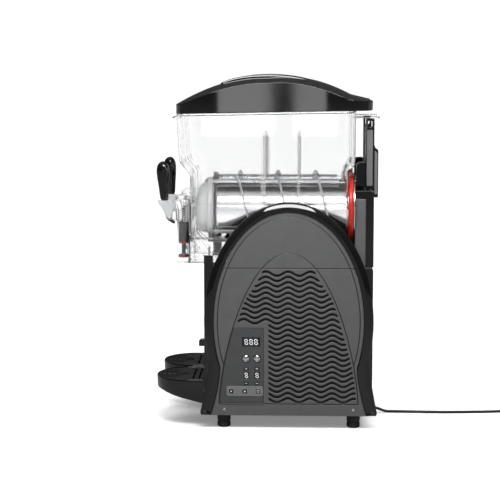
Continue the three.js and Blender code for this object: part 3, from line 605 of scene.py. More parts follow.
# a near-black sheet behind the fascia: painted shadow in the key and window recesses
plate("control_fascia_floor", [rectangle(-158, -64, 70, 248, 4)], 192.6, 194.9, "X", 0.3,
                     slot_shadow, steps=1)
plate("control_fascia_ledge", [[(-166, 59.5), (-64, 59.5), (-62, 61), (-62, 65.2), (-168, 65.2)]],
                     195.2, 197.9, "X", 0.7, fascia_grey, steps=3)
strip_grey = finish("key_strip_grey", (0.15, 0.152, 0.155), rough=(0.3, 0.38), wear_colour=(0.3, 0.3, 0.3))
plate("key_strip", [rectangle(-153, -62.8, 82, 107.7, 5.0)] + [circle(y, 94.5, 6.4) for _, y in STRIP_KEYS],
                  194.7, 197.7, "X", 0.7, strip_grey, steps=3)

display_glass = finish("display_glass", (0.004, 0.004, 0.005), rough=(0.03, 0.06), depth=0.000003)
plate("display_frame", [rectangle(-113.5, -70.3, 206.6, 228.8, 2.2),
                        rectangle(-111.6, -72.2, 208.4, 227, 1.4)],
                      194.7, 197.7, "X", 0.6, gloss_black, steps=3)
plate("display_window", [rectangle(-111.8, -72, 208.2, 227.2, 1.4)], 195.2, 196.9, "X", 0.2,
                       display_glass, steps=1)
lit_segment = bpy.data.materials.new("lit_segment")
lit_segment.use_nodes = True
segment_shader = lit_segment.node_tree.nodes["Principled BSDF"]
segment_shader.inputs["Base Color"].default_value = (0.75, 0.78, 0.8, 1)
segment_shader.inputs["Roughness"].default_value = 0.5
segment_place = lit_segment.node_tree.nodes.new("ShaderNodeTexCoord").outputs["Object"]
segment_flicker = colour_mix(lit_segment.node_tree, noise_pair(lit_segment.node_tree, 900.0, 2.0,
                                                               segment_place),
                             (0.62, 0.68, 0.72), (0.85, 0.9, 0.92))
lit_segment.node_tree.links.new(segment_flicker, segment_shader.inputs["Emission Color"])
segment_shader.inputs["Emission Strength"].default_value = 0.45


def numeral(name, y, z, width, height, thick, front):
    """An eight, all seven segments lit: two uprights a side and three bars."""
    points, faces = [], []
    bars = []
    for level in (-1, 0, 1):
        zc = z + level * (height - thick) / 2
        bars.append((y - width / 2 + thick, y + width / 2 - thick, zc - thick / 2, zc + thick / 2))
    for side_y in (y - width / 2, y + width / 2 - thick):
        for z0 in (z - height / 2 + thick * 0.8, z + thick * 0.8):
            bars.append((side_y, side_y + thick, z0, z0 + height / 2 - thick * 1.6))
    for y0, y1, z0, z1 in bars:
        low = len(points)
        cut = min(thick, y1 - y0, z1 - z0) * 0.3
        rim = [(y0 + cut, z0), (y1 - cut, z0), (y1, z0 + cut), (y1, z1 - cut),
               (y1 - cut, z1), (y0 + cut, z1), (y0, z1 - cut), (y0, z0 + cut)]
        lean = 0.12
        points += [(front - 0.12, p + (q - z) * -lean, q) for p, q in rim]
        points += [(front, p + (q - z) * -lean, q) for p, q in rim]
        faces.append(tuple(low + i for i in range(8)))
        faces.append(tuple(low + 8 + i for i in reversed(range(8))))
        faces += [(low + i, low + (i + 1) % 8, low + 8 + (i + 1) % 8, low + 8 + i) for i in range(8)]
    return piece(name, points, faces, lit_segment)


for number, y in enumerate((-104, -92, -80)):
    numeral(f"display_digit_{number + 1}", y, 217.7, 8.4, 14, 1.7, 197.0)
for station_name, y in KEY_COLUMNS:
    plate(f"{station_name}_window", [rectangle(y - 6.7, y + 7.4, 124.9, 143.4, 1.2, 3)], 194.8, 196.3, "X",
          0.2, display_glass, steps=1)
    numeral(f"{station_name}_digit", y + 0.3, 134.2, 7.6, 12.6, 1.5, 196.42)

key_chrome = finish("key_chrome", (0.55, 0.56, 0.57), rough=(0.08, 0.16), metallic=1.0, depth=0.000006)
key_black = finish("key_black", (0.012, 0.012, 0.013), rough=(0.25, 0.34), wear_colour=(0.08, 0.08, 0.08))
symbol_white = finish("key_print", (0.72, 0.72, 0.7), rough=(0.4, 0.5))
for body, y in ROUND_KEYS:
    dome = turned(f"{body}_dome", [(0, 193.9), (8.1, 193.9), (8.1, 197.8), (7.9, 198.3), (7.2, 198.75),
                                   (6.2, 198.6), (5.6, 198.3), (4, 198.75), (2, 199), (0, 199.1)],
                  (0, y, 176), "X", key_chrome, body)
    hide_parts(body)
    turned(f"{body}_bezel", [(8.65, 194.9), (10.2, 196.6), (10.2, 197.3), (9.4, 197.7), (8.75, 197.5),
                             (8.65, 194.9)],
           (0, y, 176), "X", key_black)
for station_name, y in KEY_COLUMNS:
    for sign, z in (("plus", 151), ("minus", 114.5)):
        body = f"{station_name}_{sign}_key"
        cap = plate(f"{body}_cap", [small_key_rect(y, z)], 193.7, 198.1, "X", 0.6, key_black, body, steps=3)
        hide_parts(body)
        arms = [[(y - 3, z - 0.55), (y + 3, z - 0.55), (y + 3, z + 0.55), (y - 3, z + 0.55)]]
        if sign == "plus":
            arms = [[(y - 3, z - 0.5), (y - 0.5, z - 0.5), (y - 0.5, z - 2.6), (y + 0.5, z - 2.6),
                     (y + 0.5, z - 0.5), (y + 3, z - 0.5), (y + 3, z + 0.5), (y + 0.5, z + 0.5),
                     (y + 0.5, z + 2.6), (y - 0.5, z + 2.6), (y - 0.5, z + 0.5), (y - 3, z + 0.5)]]
        plate(f"{body}_sign", arms, 198.0, 198.24, "X", 0.05, symbol_white, body, steps=1)
for body, y in STRIP_KEYS:
    cap = turned(f"{body}_cap", [(0, 193.9), (5.9, 193.9), (5.9, 198.1), (5.6, 198.7), (5, 199), (4.4, 198.9),
                                 (0, 198.7)], (0, y, 94.5), "X", key_black, body)
    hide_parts(body)
plate("start_key_mark", [circle(-141, 94.5, 1.9, 24)], 198.6, 198.95, "X", 0.06, symbol_white, "start_key",
      steps=1)
plate("mode_key_mark", [[(-107.5 + r * math.cos(math.pi * k / 6), 94.5 + r * math.sin(math.pi * k / 6))
                         for k in range(12) for r in ((3.3 if k % 2 else 1.4),)]],
      198.6, 198.95, "X", 0.05, symbol_white, "mode_key", steps=1)
plate("power_key_mark", [circle(-74.8, 94.5, 3.0, 32), circle(-74.8, 94.5, 2.1, 32)], 198.6, 198.95, "X",
      0.06,
      symbol_white, "power_key", steps=1)
for body, y in STRIP_KEYS:
    turned(f"{body}_ring", [(6.45, 196.9), (7.5, 197.6), (7.3, 197.95), (6.9, 198.05), (6.5, 197.9),
                            (6.45, 196.9)],
           (0, y, 94.5), "X", key_chrome)
screw_steel = finish("screw_steel", (0.5, 0.5, 0.5), rough=(0.25, 0.4), metallic=1.0, dusty=0.1)
for number, (y, z) in enumerate(((-158, 48.7), (159.4, 48.7))):
    for side in (1, -1):
        turned(f"panel_screw_{number + 1}_{'right' if side > 0 else 'left'}",
               [(0, side * 196), (3.8, side * 196), (3.8, side * 198), (3.4, side * 198.6), (2.4, side * 199),
                (1.6, side * 199), (1.3, side * 198), (0, side * 198)], (0, y, z), "X", screw_steel, steps=32)


# Front and rear panels: folded sheet sprayed gloss black. The front has two recesses for the
# bowl fronts and a drain spout; the rear has rows of vent slots.
front_recess = [(side * 98 - 77, side * 98 + 77) for side in (-1, 1)]
front_edge = [(-187.6, 66), (187.6, 66), (187.6, 430)]
for left, right in reversed(front_recess):
    front_edge += [(right, 430), (right, 394), (left, 394), (left, 430)]
front_edge.append((-187.6, 430))
front_sheet = plate("front_sheet", [round_about(front_edge, 2.5, 3)], -208, -205.2, "Y", 0.8, gloss_black)
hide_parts("front_panel")
for side, low, high in (("right", 184.8, 187.6), ("left", -187.6, -184.8)):
    plate(f"front_flange_{side}", [[(-206, 66), (-186, 66), (-186, 430), (-206, 430)]], low, high, "X", 0.6,
          gloss_black, steps=2)
    plate(f"rear_flange_{side}", [[(187, 66), (204, 66), (204, 395), (187, 395)]], low, high, "X", 0.6,
          gloss_black, steps=2)
rear_slots = []
for row in range(9):
    z = 110 + row * 26
    for low, high in ((-130, -12), (12, 130)):
        rear_slots.append(rectangle(low, high, z, z + 8, 3.8, 5))
rear_sheet = plate("rear_sheet", [rectangle(-187.6, 187.6, 66, 395, 3)] + rear_slots, 203.2, 206, "Y", 0.8,
                   gloss_black, steps=2)
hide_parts("rear_panel")
turned("drain_spout_pipe", [(0, -206), (9.5, -206), (9.5, -208.6), (8.6, -209.4), (7, -209.8), (7, -219),
                            (6, -220.5),
                            (0, -220.5)], (0, 0, 184), "Y", gloss_black)
spout_side = round_about([(-234, 172), (-219, 172), (-218, 191), (-229, 191), (-234, 186)], 2.5, 4)
plate("drain_spout_elbow", [spout_side], -6, 6, "X", 1.8, gloss_black, steps=4)


# Motor housing and its cover: a satin grey box across the rear of the deck, which holds the
# gearmotors, under a gloss black cover that turns down over its back.
housing_side = round_about([(161.3, 400.3), (187.7, 400.3), (187.7, 568), (161.3, 568)], 1.5, 3)
housing = plate("motor_box", [housing_side], -170, 170, "X", 1.2, satin_grey, steps=3)
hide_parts("motor_housing")
cover_edge = [(161.3, 568.3), (188, 568.3), (188, 400.3), (207, 400.3), (207, 576)]
cover_edge += [(207 - 12 * (1 - math.cos(a)),
                576 + 12 * math.sin(a)) for a in (math.pi / 2 * s / 8 for s in range(1, 9))]
cover_edge += [(163, 588), (161.3, 586.3)]
cover = plate("motor_box_cover", [cover_edge], -170, 170, "X", 1.2, gloss_black, steps=3)
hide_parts("motor_cover")
for side in (1, -1):
    trim_low, trim_high = (170 * side, 171.2 * side) if side > 0 else (-171.2, -170)
    plate(f"motor_box_rib_{'right' if side > 0 else 'left'}", [rectangle(163.5, 185.5, 404, 564, 3)],
          trim_low, trim_high, "X", 0.5, satin_grey, steps=2)

# Cooling drums: spun stainless cans lying along the bowls, closed at the front and flanged to
# the motor box at the rear. The brush marks run round them.
BOWL_X = 98
AXIS_Z = 540


def twin(right, body, *nodes):
    """The left bowl station is the right one again, moved across."""
    left = right.copy()
    left.name = right.name.replace("_right", "_left")
    left.location.x -= 2 * BOWL_X * MM
    scene.collection.objects.link(left)
    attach(left, f"{body}_left" if body != "machine" else body)
    if nodes:
        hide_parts(*[f"{node}_right" for node in nodes])
        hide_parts(*[f"{node}_left" for node in nodes])
    return left


brushed = bpy.data.materials.new("brushed_stainless")
brushed.use_nodes = True
brushed_tree = brushed.node_tree
brushed_shader = brushed_tree.nodes["Principled BSDF"]
brushed_shader.inputs["Metallic"].default_value = 1.0
brushed_place = brushed_tree.nodes.new("ShaderNodeMapping")
brushed_place.inputs["Scale"].default_value = (3, 900, 3)
brushed_tree.links.new(brushed_tree.nodes.new("ShaderNodeTexCoord").outputs["Object"],
                       brushed_place.inputs["Vector"])
strokes = noise_pair(brushed_tree, 4.0, 3.0, brushed_place.outputs["Vector"])
brushed_rough = brushed_tree.nodes.new("ShaderNodeMapRange")
brushed_rough.inputs["To Min"].default_value = 0.16
brushed_rough.inputs["To Max"].default_value = 0.3
brushed_tree.links.new(strokes, brushed_rough.inputs["Value"])
brushed_tree.links.new(brushed_rough.outputs["Result"], brushed_shader.inputs["Roughness"])
brushed_colour = colour_mix(brushed_tree, strokes, (0.5, 0.5, 0.51), (0.64, 0.64, 0.65))
brushed_tree.links.new(brushed_colour, brushed_shader.inputs["Base Color"])
brushed_bump = brushed_tree.nodes.new("ShaderNodeBump")
brushed_bump.inputs["Distance"].default_value = 0.000008
brushed_tree.links.new(strokes, brushed_bump.inputs["Height"])
brushed_tree.links.new(brushed_bump.outputs["Normal"], brushed_shader.inputs["Normal"])
can = [(9, -182), (57, -182), (60.5, -181.6), (63.2, -180.2), (64.6, -178), (65, -175), (65, 20), (65, 150),
       (65.4, 155), (66.6, 157), (69, 157.6), (87.4, 157.6), (88, 158.2), (88, 160.4), (87.4, 161),
       (62.5, 161),
       (62.5, -178), (12, -179), (9, -180), (9, -182)]
drum = turned("cooling_drum_right", can, (BOWL_X, 0, AXIS_Z), "Y", brushed, steps=128)
twin(drum, "machine", "evaporator")


# Bowl gaskets: red silicone rings with a raised lip, stretched over the drum flange, that the
# open rear end of the bowl presses against.
red_silicone = finish("red_silicone", (0.5, 0.02, 0.014), rough=(0.25, 0.36), grain_scale=700, dusty=0.05)
red_silicone.node_tree.nodes["Principled BSDF"].inputs["Subsurface Weight"].default_value = 0.15
red_silicone.node_tree.nodes["Principled BSDF"].inputs["Subsurface Radius"].default_value = (0.004, 0.001,
                                                                                             0.001)
seal = [(70, 145.6), (84.5, 145.4), (86, 146), (87.2, 147.4), (89, 149), (89.2, 150.2), (88.2, 151.4),
        (88.2, 152.2),
        (89, 153.2), (88.6, 154.6), (87, 156.6), (84, 157), (70, 157), (70, 145.6)]
gasket = turned("bowl_seal_right", seal, (BOWL_X, 0, AXIS_Z), "Y", red_silicone, steps=112)
twin(gasket, "machine", "bowl_gasket")


# Augers: one-piece translucent white mouldings. A thin blade winds three times round the drum,
# held by three lengthwise bars between a front rim with a nose and an open rear end.
milky = bpy.data.materials.new("milky_auger")
milky.use_nodes = True
milky_tree = milky.node_tree
milky_shader = milky_tree.nodes["Principled BSDF"]
milky_shader.inputs["Transmission Weight"].default_value = 0.45
milky_shader.inputs["IOR"].default_value = 1.46
milky_shader.inputs["Subsurface Weight"].default_value = 0.25
milky_shader.inputs["Subsurface Radius"].default_value = (0.006, 0.006, 0.006)
milky_surface = milky_tree.nodes.new("ShaderNodeGroup")
milky_surface.node_tree = grain
milky_surface.inputs["Grain Scale"].default_value = 500
milky_surface.inputs["Low Roughness"].default_value = 0.24
milky_surface.inputs["High Roughness"].default_value = 0.36
milky_bump = milky_tree.nodes.new("ShaderNodeBump")
milky_bump.inputs["Distance"].default_value = 0.00002
milky_tree.links.new(milky_surface.outputs["Height"], milky_bump.inputs["Height"])
milky_tree.links.new(milky_bump.outputs["Normal"], milky_shader.inputs["Normal"])
milky_tree.links.new(milky_surface.outputs["Roughness"], milky_shader.inputs["Roughness"])
milky_place = milky_tree.nodes.new("ShaderNodeTexCoord").outputs["Object"]
milky_colour = colour_mix(milky_tree, noise_pair(milky_tree, 40.0, 3.0, milky_place), (0.8, 0.81, 0.82),
                          (0.9, 0.9, 0.9))
milky_tree.links.new(milky_colour, milky_shader.inputs["Base Color"])
AUGER_PITCH = 98
points, faces = [], []
blade_steps = 3 * 72
section = [(67.6, -2.2), (69.5, -1.7), (79.6, -1.15), (80.9, -0.8), (81.5, 0), (80.9, 0.8), (79.6, 1.15),
           (69.5, 1.7), (67.6, 2.2)]
for step in range(blade_steps + 1):
    turn_done = step / 72
    angle = -math.pi / 2 - turn_done * 2 * math.pi
    taper = min(1.0, 0.25 + min(step, blade_steps - step) / 10)
    for radius, across in section:
        r = 67.6 + (radius - 67.6) * taper
        points.append((BOWL_X + r * math.cos(angle),
                       -130 - AUGER_PITCH * 0.5 + turn_done * AUGER_PITCH + across,
                       AXIS_Z + r * math.sin(angle)))
ring_size = len(section)
faces = hoops(blade_steps, ring_size)
faces.append(tuple(range(ring_size)))
faces.append(tuple(blade_steps * ring_size + k for k in reversed(range(ring_size))))
blade = piece("auger_blade_right", points, faces, milky, "auger_right")
twin(blade, "auger", "auger")
rim_profile = [(61.5, -200), (75.6, -200), (76.5, -199), (76.5, -190.4), (75.6, -189), (63, -189),
               (61.5, -190), (61.5, -200)]
auger_rim = turned("auger_rim_right", rim_profile, (BOWL_X, 0, AXIS_Z), "Y", milky, "auger_right", steps=96)
twin(auger_rim, "auger")
nose_profile = [(0, -233), (16, -232.4), (30, -230.8), (44, -227.6), (54, -223.4), (60, -218), (62.6, -212),
                (63, -206),
                (63, -187), (62, -186), (60, -186), (59, -187), (59, -208), (56, -214), (50, -219),
                (40, -223),
                (26, -226), (9, -227), (9, -186), (0, -186)]
auger_nose = turned("auger_nose_right", nose_profile, (BOWL_X, 0, AXIS_Z), "Y", milky, "auger_right",
                    steps=96)
twin(auger_nose, "auger")
for number in range(3):
    angle = number * 2 * math.pi / 3 + 0.35
    out, along_rim = (math.sin(angle), math.cos(angle)), (math.cos(angle), -math.sin(angle))
    bar_section = round_about([(-5, 68.5), (5, 68.5), (5, 74.5), (-5, 74.5)], 2.4, 3)
    ends = ((-195, 1.0), (120.5, 1.0), (122, 0.7))
    points, faces = [], []
    for y, swell in ends:
        for u, r in bar_section:
            u, r = u * swell, 71.5 + (r - 71.5) * swell
            points.append((BOWL_X + r * out[0] + u * along_rim[0], y, AXIS_Z + r * out[1] + u * along_rim[1]))
    size = len(bar_section)
    faces += hoops(len(ends) - 1, size)
    faces += [tuple(range(size)), tuple((len(ends) - 1) * size + k for k in reversed(range(size)))]
    auger_bar = piece(f"auger_bar_{number + 1}_right", points, faces, milky, "auger_right")
    twin(auger_bar, "auger")


# Bowls: clear polycarbonate, moulded in one piece: a half-round trough round the drum, open at
# the rear, under a straight-sided hopper whose front is stepped in above the tap.
clear_plastic = bpy.data.materials.new("clear_polycarbonate")
clear_plastic.use_nodes = True
clear_tree = clear_plastic.node_tree
clear_shader = clear_tree.nodes["Principled BSDF"]
clear_shader.inputs["Transmission Weight"].default_value = 1.0
clear_shader.inputs["IOR"].default_value = 1.5
clear_shader.inputs["Specular IOR Level"].default_value = 0.18
clear_place = clear_tree.nodes.new("ShaderNodeTexCoord").outputs["Object"]
clear_cloud = noise_pair(clear_tree, 8.0, 4.0, clear_place)
clear_tint = colour_mix(clear_tree, clear_cloud, (0.985, 0.987, 0.99), (1, 1, 1))
clear_tree.links.new(clear_tint, clear_shader.inputs["Base Color"])
clear_rough = clear_tree.nodes.new("ShaderNodeMapRange")
clear_rough.inputs["To Min"].default_value = 0.0
clear_rough.inputs["To Max"].default_value = 0.03
clear_tree.links.new(clear_cloud, clear_rough.inputs["Value"])
clear_tree.links.new(clear_rough.outputs["Result"], clear_shader.inputs["Roughness"])


def rim_height(y):
    return 773 + ((y + 275) / 437) * 8


def plan_loop(half, front, rear, radius, height, x=BOWL_X, steps=8):
    """One level of the bowl: a rounded rectangle in plan, at a height that may vary along it."""
    radius = min(radius, half * 0.9)
    loop = []
    for cx, cy, start in ((half - radius, rear - radius, 0), (-half + radius, rear - radius, 90),
                          (-half + radius, front + radius, 180), (half - radius, front + radius, 270)):
        for s in range(steps + 1):
            a = math.radians(start + 90 * s / steps)
            y = cy + radius * math.sin(a)
            loop.append((x + cx + radius * math.cos(a), y, height(y) if callable(height) else height))
    return loop


def hopper_front(z):
    """Where the front wall is at a height: a straight nose, an S-curve inwards, then the step."""
    if z > 662:
        return -269 - 6 * (z - 662) / 112
    if z > 622:
        t = (662 - z) / 40
        return -269 + 26 * (t * t * (3 - 2 * t))
    return -243


def bowl_levels(wall):
    levels = []
    for s in range(25):
        # the half-round trough, from its lowest line up to the axis
        a = math.pi / 2 * s / 24
        levels.append((max(3.0, (86 - wall) * math.sin(a)), -242 + wall, 145 - wall, 3,
                       AXIS_Z - (86 - wall) * math.cos(a)))
    levels.append((86 - wall, -242 + wall, 145 - wall, 4, 549 + wall))
    levels.append((87.6 - wall, -242.4 + wall, 145 - wall, 7, 551.6 + wall))
    levels.append((89.2 - wall, -242.8 + wall, 145 - wall, 12, 553.4 + wall))
    levels.append((90 - wall, -243 + wall, 145 - wall, 16, 557 + wall))
    for z in (580, 600, 614, 622, 628, 634, 640, 646, 652, 658, 662, 680, 720, 768):
        rear = 145 + 16 * min(1, max(0, (z - 634) / 14)) ** 1.5
        levels.append((90 - wall, hopper_front(z) + wall, rear - wall, 20, z))
    return levels


def bowl_mesh(name, material):
    outer = bowl_levels(0)
    inner = bowl_levels(3)
    loops = [plan_loop(h, f, r, c, z) for h, f, r, c, z in outer]
    # rolled rim: the wall swells a little below the lid
    for half, front, rear, lift in ((90, -275, 161, -4), (91.2, -276.2, 162.2, -3),
                                    (91.6, -276.6, 162.6, -1.4),
                                    (91, -276, 162, -0.1), (89.5, -274.5, 160.5, 0.2), (88, -273, 159, -0.2)):
        loops.append(plan_loop(half, front, rear, 22, lambda y, lift=lift: rim_height(y) + lift))
    loops.append(plan_loop(87, -272, 158, 20, lambda y: rim_height(y) - 2))
    loops += [plan_loop(h, f, r, max(2, c - 3), z) for h, f, r, c, z in reversed(inner)]
    size = len(loops[0])
    points = [p for loop in loops for p in loop]
    faces = []
    faces += hoops(len(loops) - 1, size)
    faces.append(tuple(reversed(range(size))))
    faces.append(tuple((len(loops) - 1) * size + k for k in range(size)))
    return piece(name, points, faces, material, sharp=40)


def bored(target, cutters):
    """Cuts holes in a piece with turned cutters, which are then thrown away."""
    for cutter in cutters:
        step = target.modifiers.new("bore", "BOOLEAN")
        step.operation = "DIFFERENCE"
        step.solver = "EXACT"
        step.object = cutter
    cut_mesh = bpy.data.meshes.new_from_object(target.evaluated_get(bpy.context.evaluated_depsgraph_get()))
    target.modifiers.clear()
    target.data = cut_mesh
    cut_mesh.shade_smooth()
    cut_mesh.set_sharp_from_angle(angle=math.radians(40))
    for cutter in cutters:
        bpy.data.objects.remove(cutter)
    target.modifiers.new("flat_faces", "WEIGHTED_NORMAL").keep_sharp = True


bowl = bowl_mesh("bowl_shell_right", clear_plastic)
bored(bowl, [turned("rear_bore", [(0, 130), (78, 130), (78, 150), (0, 150)], (BOWL_X, 0, AXIS_Z), "Y",
                    clear_plastic, steps=96),
             turned("outlet_bore", [(0, -250), (9, -250), (9, -230), (0, -230)], (BOWL_X, 0, 468), "Y",
                    clear_plastic, steps=32)])
twin(bowl, "machine", "bowl")
front_lip = plate("bowl_front_lip_right", [round_about([(68, -289), (128, -289), (128, -271), (68, -271)],
                                                       5)],
                  762.6, 766.2, "Z", 1.2, clear_plastic)
twin(front_lip, "machine")
rear_tab = plate("bowl_rear_tab_right", [round_about([(76, 160), (120, 160), (120, 222), (76, 222)], 6)],
                 762.6, 766.2, "Z", 1.2, clear_plastic)
twin(rear_tab, "machine")
hazy_plastic = finish("hazy_polycarbonate", (0.6, 0.605, 0.61), rough=(0.35, 0.5))
hazy_plastic.node_tree.nodes["Principled BSDF"].inputs["Alpha"].default_value = 0.2
for side in (-1, 1):
    for number, (y, width) in enumerate(((-63, 12), (23, 8))):
        low, high = sorted((BOWL_X + side * 89.95, BOWL_X + side * 90.9))
        wall_rib = plate(f"bowl_wall_rib_{number}{'a' if side < 0 else 'b'}_right",
                         [rectangle(y - width / 2, y + width / 2, 560, 730, 3)], low, high, "X", 0.42,
                         hazy_plastic, steps=2)
        twin(wall_rib, "machine")


# Condensate chutes: thin clear mouldings hung under the bowl fronts, with one sloping rib inside,
# that lead the drips from the bowl down to the drain.
arc = [(BOWL_X + 87.5 * math.sin(a), AXIS_Z - 87.5 * math.cos(a))
       for a in (math.radians(-41 + 82 * s / 32) for s in range(33))]
chute_face = [(BOWL_X + 73.5, 474), (BOWL_X + 73.5, 409), (BOWL_X - 73.5, 409), (BOWL_X - 73.5, 474)] + arc
chute_front = plate("chute_front_right", [chute_face], -245.2, -242.9, "Y", 0.7, clear_plastic, steps=2)
twin(chute_front, "machine", "chute")
chute_floor = plate("chute_floor_right", [[(BOWL_X - 71, -242.6), (BOWL_X + 71, -242.6), (BOWL_X + 71, -152),
                                           (BOWL_X - 71, -152)]],
                    409, 411.4, "Z", 0.7, clear_plastic, steps=2)
twin(chute_floor, "machine")
for side in (-1, 1):
    low, high = sorted((BOWL_X + side * 71.2, BOWL_X + side * 73.5))
    wall = plate(f"chute_wall_{'a' if side < 0 else 'b'}_right",
                 [round_about([(-242.6, 411), (-152, 411), (-152, 462), (-158, 474), (-242.6, 474)], 3)],
                 low, high, "X", 0.7, clear_plastic, steps=2)
    twin(wall, "machine")
    rib_low, rib_high = sorted((BOWL_X + side * 66, BOWL_X + side * 71))
    sloping_rib = plate(f"chute_rib_{'a' if side < 0 else 'b'}_right",
                        [[(-238.5, 470), (-236, 471), (-204.8, 423), (-207.3, 422)]], rib_low, rib_high, "X",
                        0.8,
                        clear_plastic, steps=2)
    twin(sloping_rib, "machine")


# Taps: a clear tube with a wider head, moulded apart and bolted to the bowl front. In it a black
# piston with two red O-rings is held down by a steel spring.
TAP_Y = -264.5
tap_profile = [(0, 574), (7, 573.6), (12, 571.6), (17, 568.6), (19.6, 566.6), (20.5, 564.6), (20.5, 508.6),
               (20, 507.2),
               (17.4, 505.8), (16.5, 504.6), (16.5, 403), (16, 401.6), (15.2, 401), (14.2, 401),
               (13.5, 401.8),
               (13.5, 535), (14.4, 543), (15.6, 556), (14, 560.5), (8, 564.5), (0, 566)]
tap_tube = turned("tap_tube_right", tap_profile, (BOWL_X, TAP_Y, 0), "Z", clear_plastic, steps=80)
bored(tap_tube, [turned("inlet_bore", [(0, -264), (9, -264), (9, -240), (0, -240)], (BOWL_X, 0, 468), "Y",
                        clear_plastic, steps=32),
                 plate("cam_slot_cutter", [rectangle(-292, TAP_Y, 488, 536, 2)], BOWL_X - 5, BOWL_X + 5, "X",
                       0.3, clear_plastic, steps=1)])
twin(tap_tube, "machine", "tap_body")
tap_neck = turned("tap_neck_right", [(9.1, -249.6), (12.4, -249.6), (13, -249), (13, -245.6), (14.6, -245.2),
                                     (14.6, -243),
                                     (13.6, -242.4), (9.1, -242.4), (9.1, -249.6)], (BOWL_X, 0, 468), "Y",
                                     clear_plastic, steps=48)
twin(tap_neck, "machine")
translucent_grey = finish("translucent_grey", (0.7, 0.71, 0.72), rough=(0.3, 0.4), dusty=0.03)
translucent_grey.node_tree.nodes["Principled BSDF"].inputs["Transmission Weight"].default_value = 0.75
for side in (-1, 1):
    low, high = sorted((BOWL_X + side * 7.6, BOWL_X + side * 11.4))
    ear = plate(f"tap_ear_{'a' if side < 0 else 'b'}_right",
                [round_about([(-279, 508), (-279, 534), (-304, 524), (-306, 516), (-304, 509)], 3)], low,
                high, "X",
                0.9, clear_plastic, steps=3)
    twin(ear, "machine")
bolt = turned("tap_bolt_right", [(0, -250.4), (3, -250.4), (3, -246.4), (5.6, -246.2), (5.6, -243.8),
                                 (0, -243.8)],
              (BOWL_X, 0, 563), "Y", screw_steel, steps=24)
twin(bolt, "machine")
piston_profile = [(0, 415), (11, 415), (12.6, 415.8), (13, 417), (13, 417.2), (12.2, 417.4), (12.2, 419.6),
                  (13, 419.8),
                  (13, 421.4), (11.5, 422.6), (5.6, 424), (5, 425), (5, 449), (5.8, 450.4), (12.4, 450.6),
                  (13, 451.2),
                  (12.2, 451.5), (12.2, 453.7), (13, 454), (13, 505), (12.2, 506), (4.6, 507.6), (4, 508.6),
                  (4, 537),
                  (3, 538), (0, 538)]
piston = turned("tap_piston_core_right", piston_profile, (BOWL_X, TAP_Y, 0), "Z", matt_black,
                "tap_piston_right", steps=64)
twin(piston, "tap_piston", "tap_piston")
oring_red = finish("oring_red", (0.6, 0.03, 0.02), rough=(0.2, 0.3))
for number, z in enumerate((418.5, 452.6)):
    ring_profile = [(12.25 + 1.1 * math.cos(a),
                     z + 1.1 * math.sin(a)) for a in (2 * math.pi * s / 12 for s in range(13))]
    o_ring = turned(f"tap_oring_{number + 1}_right", ring_profile, (BOWL_X, TAP_Y, 0), "Z", oring_red,
                    "tap_piston_right", steps=64)
    twin(o_ring, "tap_piston")
spring_steel = finish("spring_steel", (0.62, 0.62, 0.63), rough=(0.16, 0.26), metallic=1.0, depth=0.000006)


def coil_spring(name, x, y, z0, z1, radius, wire, turns, body):
    points, faces = [], []
    sides, per_turn = 8, 28
    count = int(turns * per_turn)
    for step in range(count + 1):
        a = 2 * math.pi * step / per_turn
        t = step / count
        height = z0 + wire + (z1 - z0 - 2 * wire) * min(1, max(0, (t - 0.06) / 0.88))
        for k in range(sides):
            b = 2 * math.pi * k / sides
            r = radius + wire * math.cos(b)
            points.append((x + r * math.cos(a), y + r * math.sin(a), height + wire * math.sin(b)))
    faces = hoops(count, sides)
    faces += [tuple(range(sides)), tuple(count * sides + k for k in reversed(range(sides)))]
    return piece(name, points, faces, spring_steel, body, sharp=60)


spring = coil_spring("tap_spring_right", BOWL_X, TAP_Y, 508.5, 535, 8.8, 0.9, 5.5, "tap_piston_right")
twin(spring, "tap_piston")


# Tap levers: hollow gloss black grips shaped like a drop, on a pale translucent clevis that turns on a white
# pin and lifts the piston with a short cam.
lever_stations = [(0, 0.2), (0.6, 5.5), (2, 8.2), (5, 10.6), (12, 11.9), (25, 13.1), (40, 14.7), (55, 16.6),
                  (66, 17.7),
                  (74, 18), (82, 17.2), (88, 15.6), (93, 13), (96.6, 9.6), (99, 5.4), (99.9, 1.2)]
points, faces = [], []
around = 40
for height, radius in lever_stations:
    for k in range(around):
        a = 2 * math.pi * k / around
        u = radius * math.cos(a)
        v = radius * math.sin(a)
        # the back of the grip is flatter than its front
        v *= 1.0 if v < 0 else 0.82
        lean = 0.035
        points.append((BOWL_X + u * 0.72, -311 + v * math.cos(lean) - height * math.sin(lean),
                       555 + height * math.cos(lean)))
faces += hoops(len(lever_stations) - 1, around)
faces += [tuple(range(around)),
          tuple((len(lever_stations) - 1) * around + k for k in reversed(range(around)))]
grip = piece("lever_grip_right", points, faces, gloss_black, "tap_lever_right", sharp=60)
smoother = grip.modifiers.new("rounder", "SUBSURF")
smoother.levels = smoother.render_levels = 1
twin(grip, "tap_lever", "tap_lever")
clevis = plate("lever_clevis_right", [round_about([(-330, 556.8), (-297, 557), (-291, 540), (-292, 524),
                                                   (-292.5, 512), (-300, 506.5), (-307, 511), (-313, 530)],
                                                   4)],
               BOWL_X - 6.7, BOWL_X + 6.7, "X", 1.6, translucent_grey, "tap_lever_right", steps=4)
twin(clevis, "tap_lever")
cam = plate("lever_cam_right", [round_about([(-302, 520), (-285.4, 503.9), (-286, 499.8), (-290, 498.9),
                                             (-305.6, 509)], 1.6, 3)],
            BOWL_X - 3.5, BOWL_X + 3.5, "X", 0.8, matt_black, "tap_lever_right", steps=3)
twin(cam, "tap_lever")
pin_white = finish("pin_white", (0.7, 0.7, 0.69), rough=(0.3, 0.4))
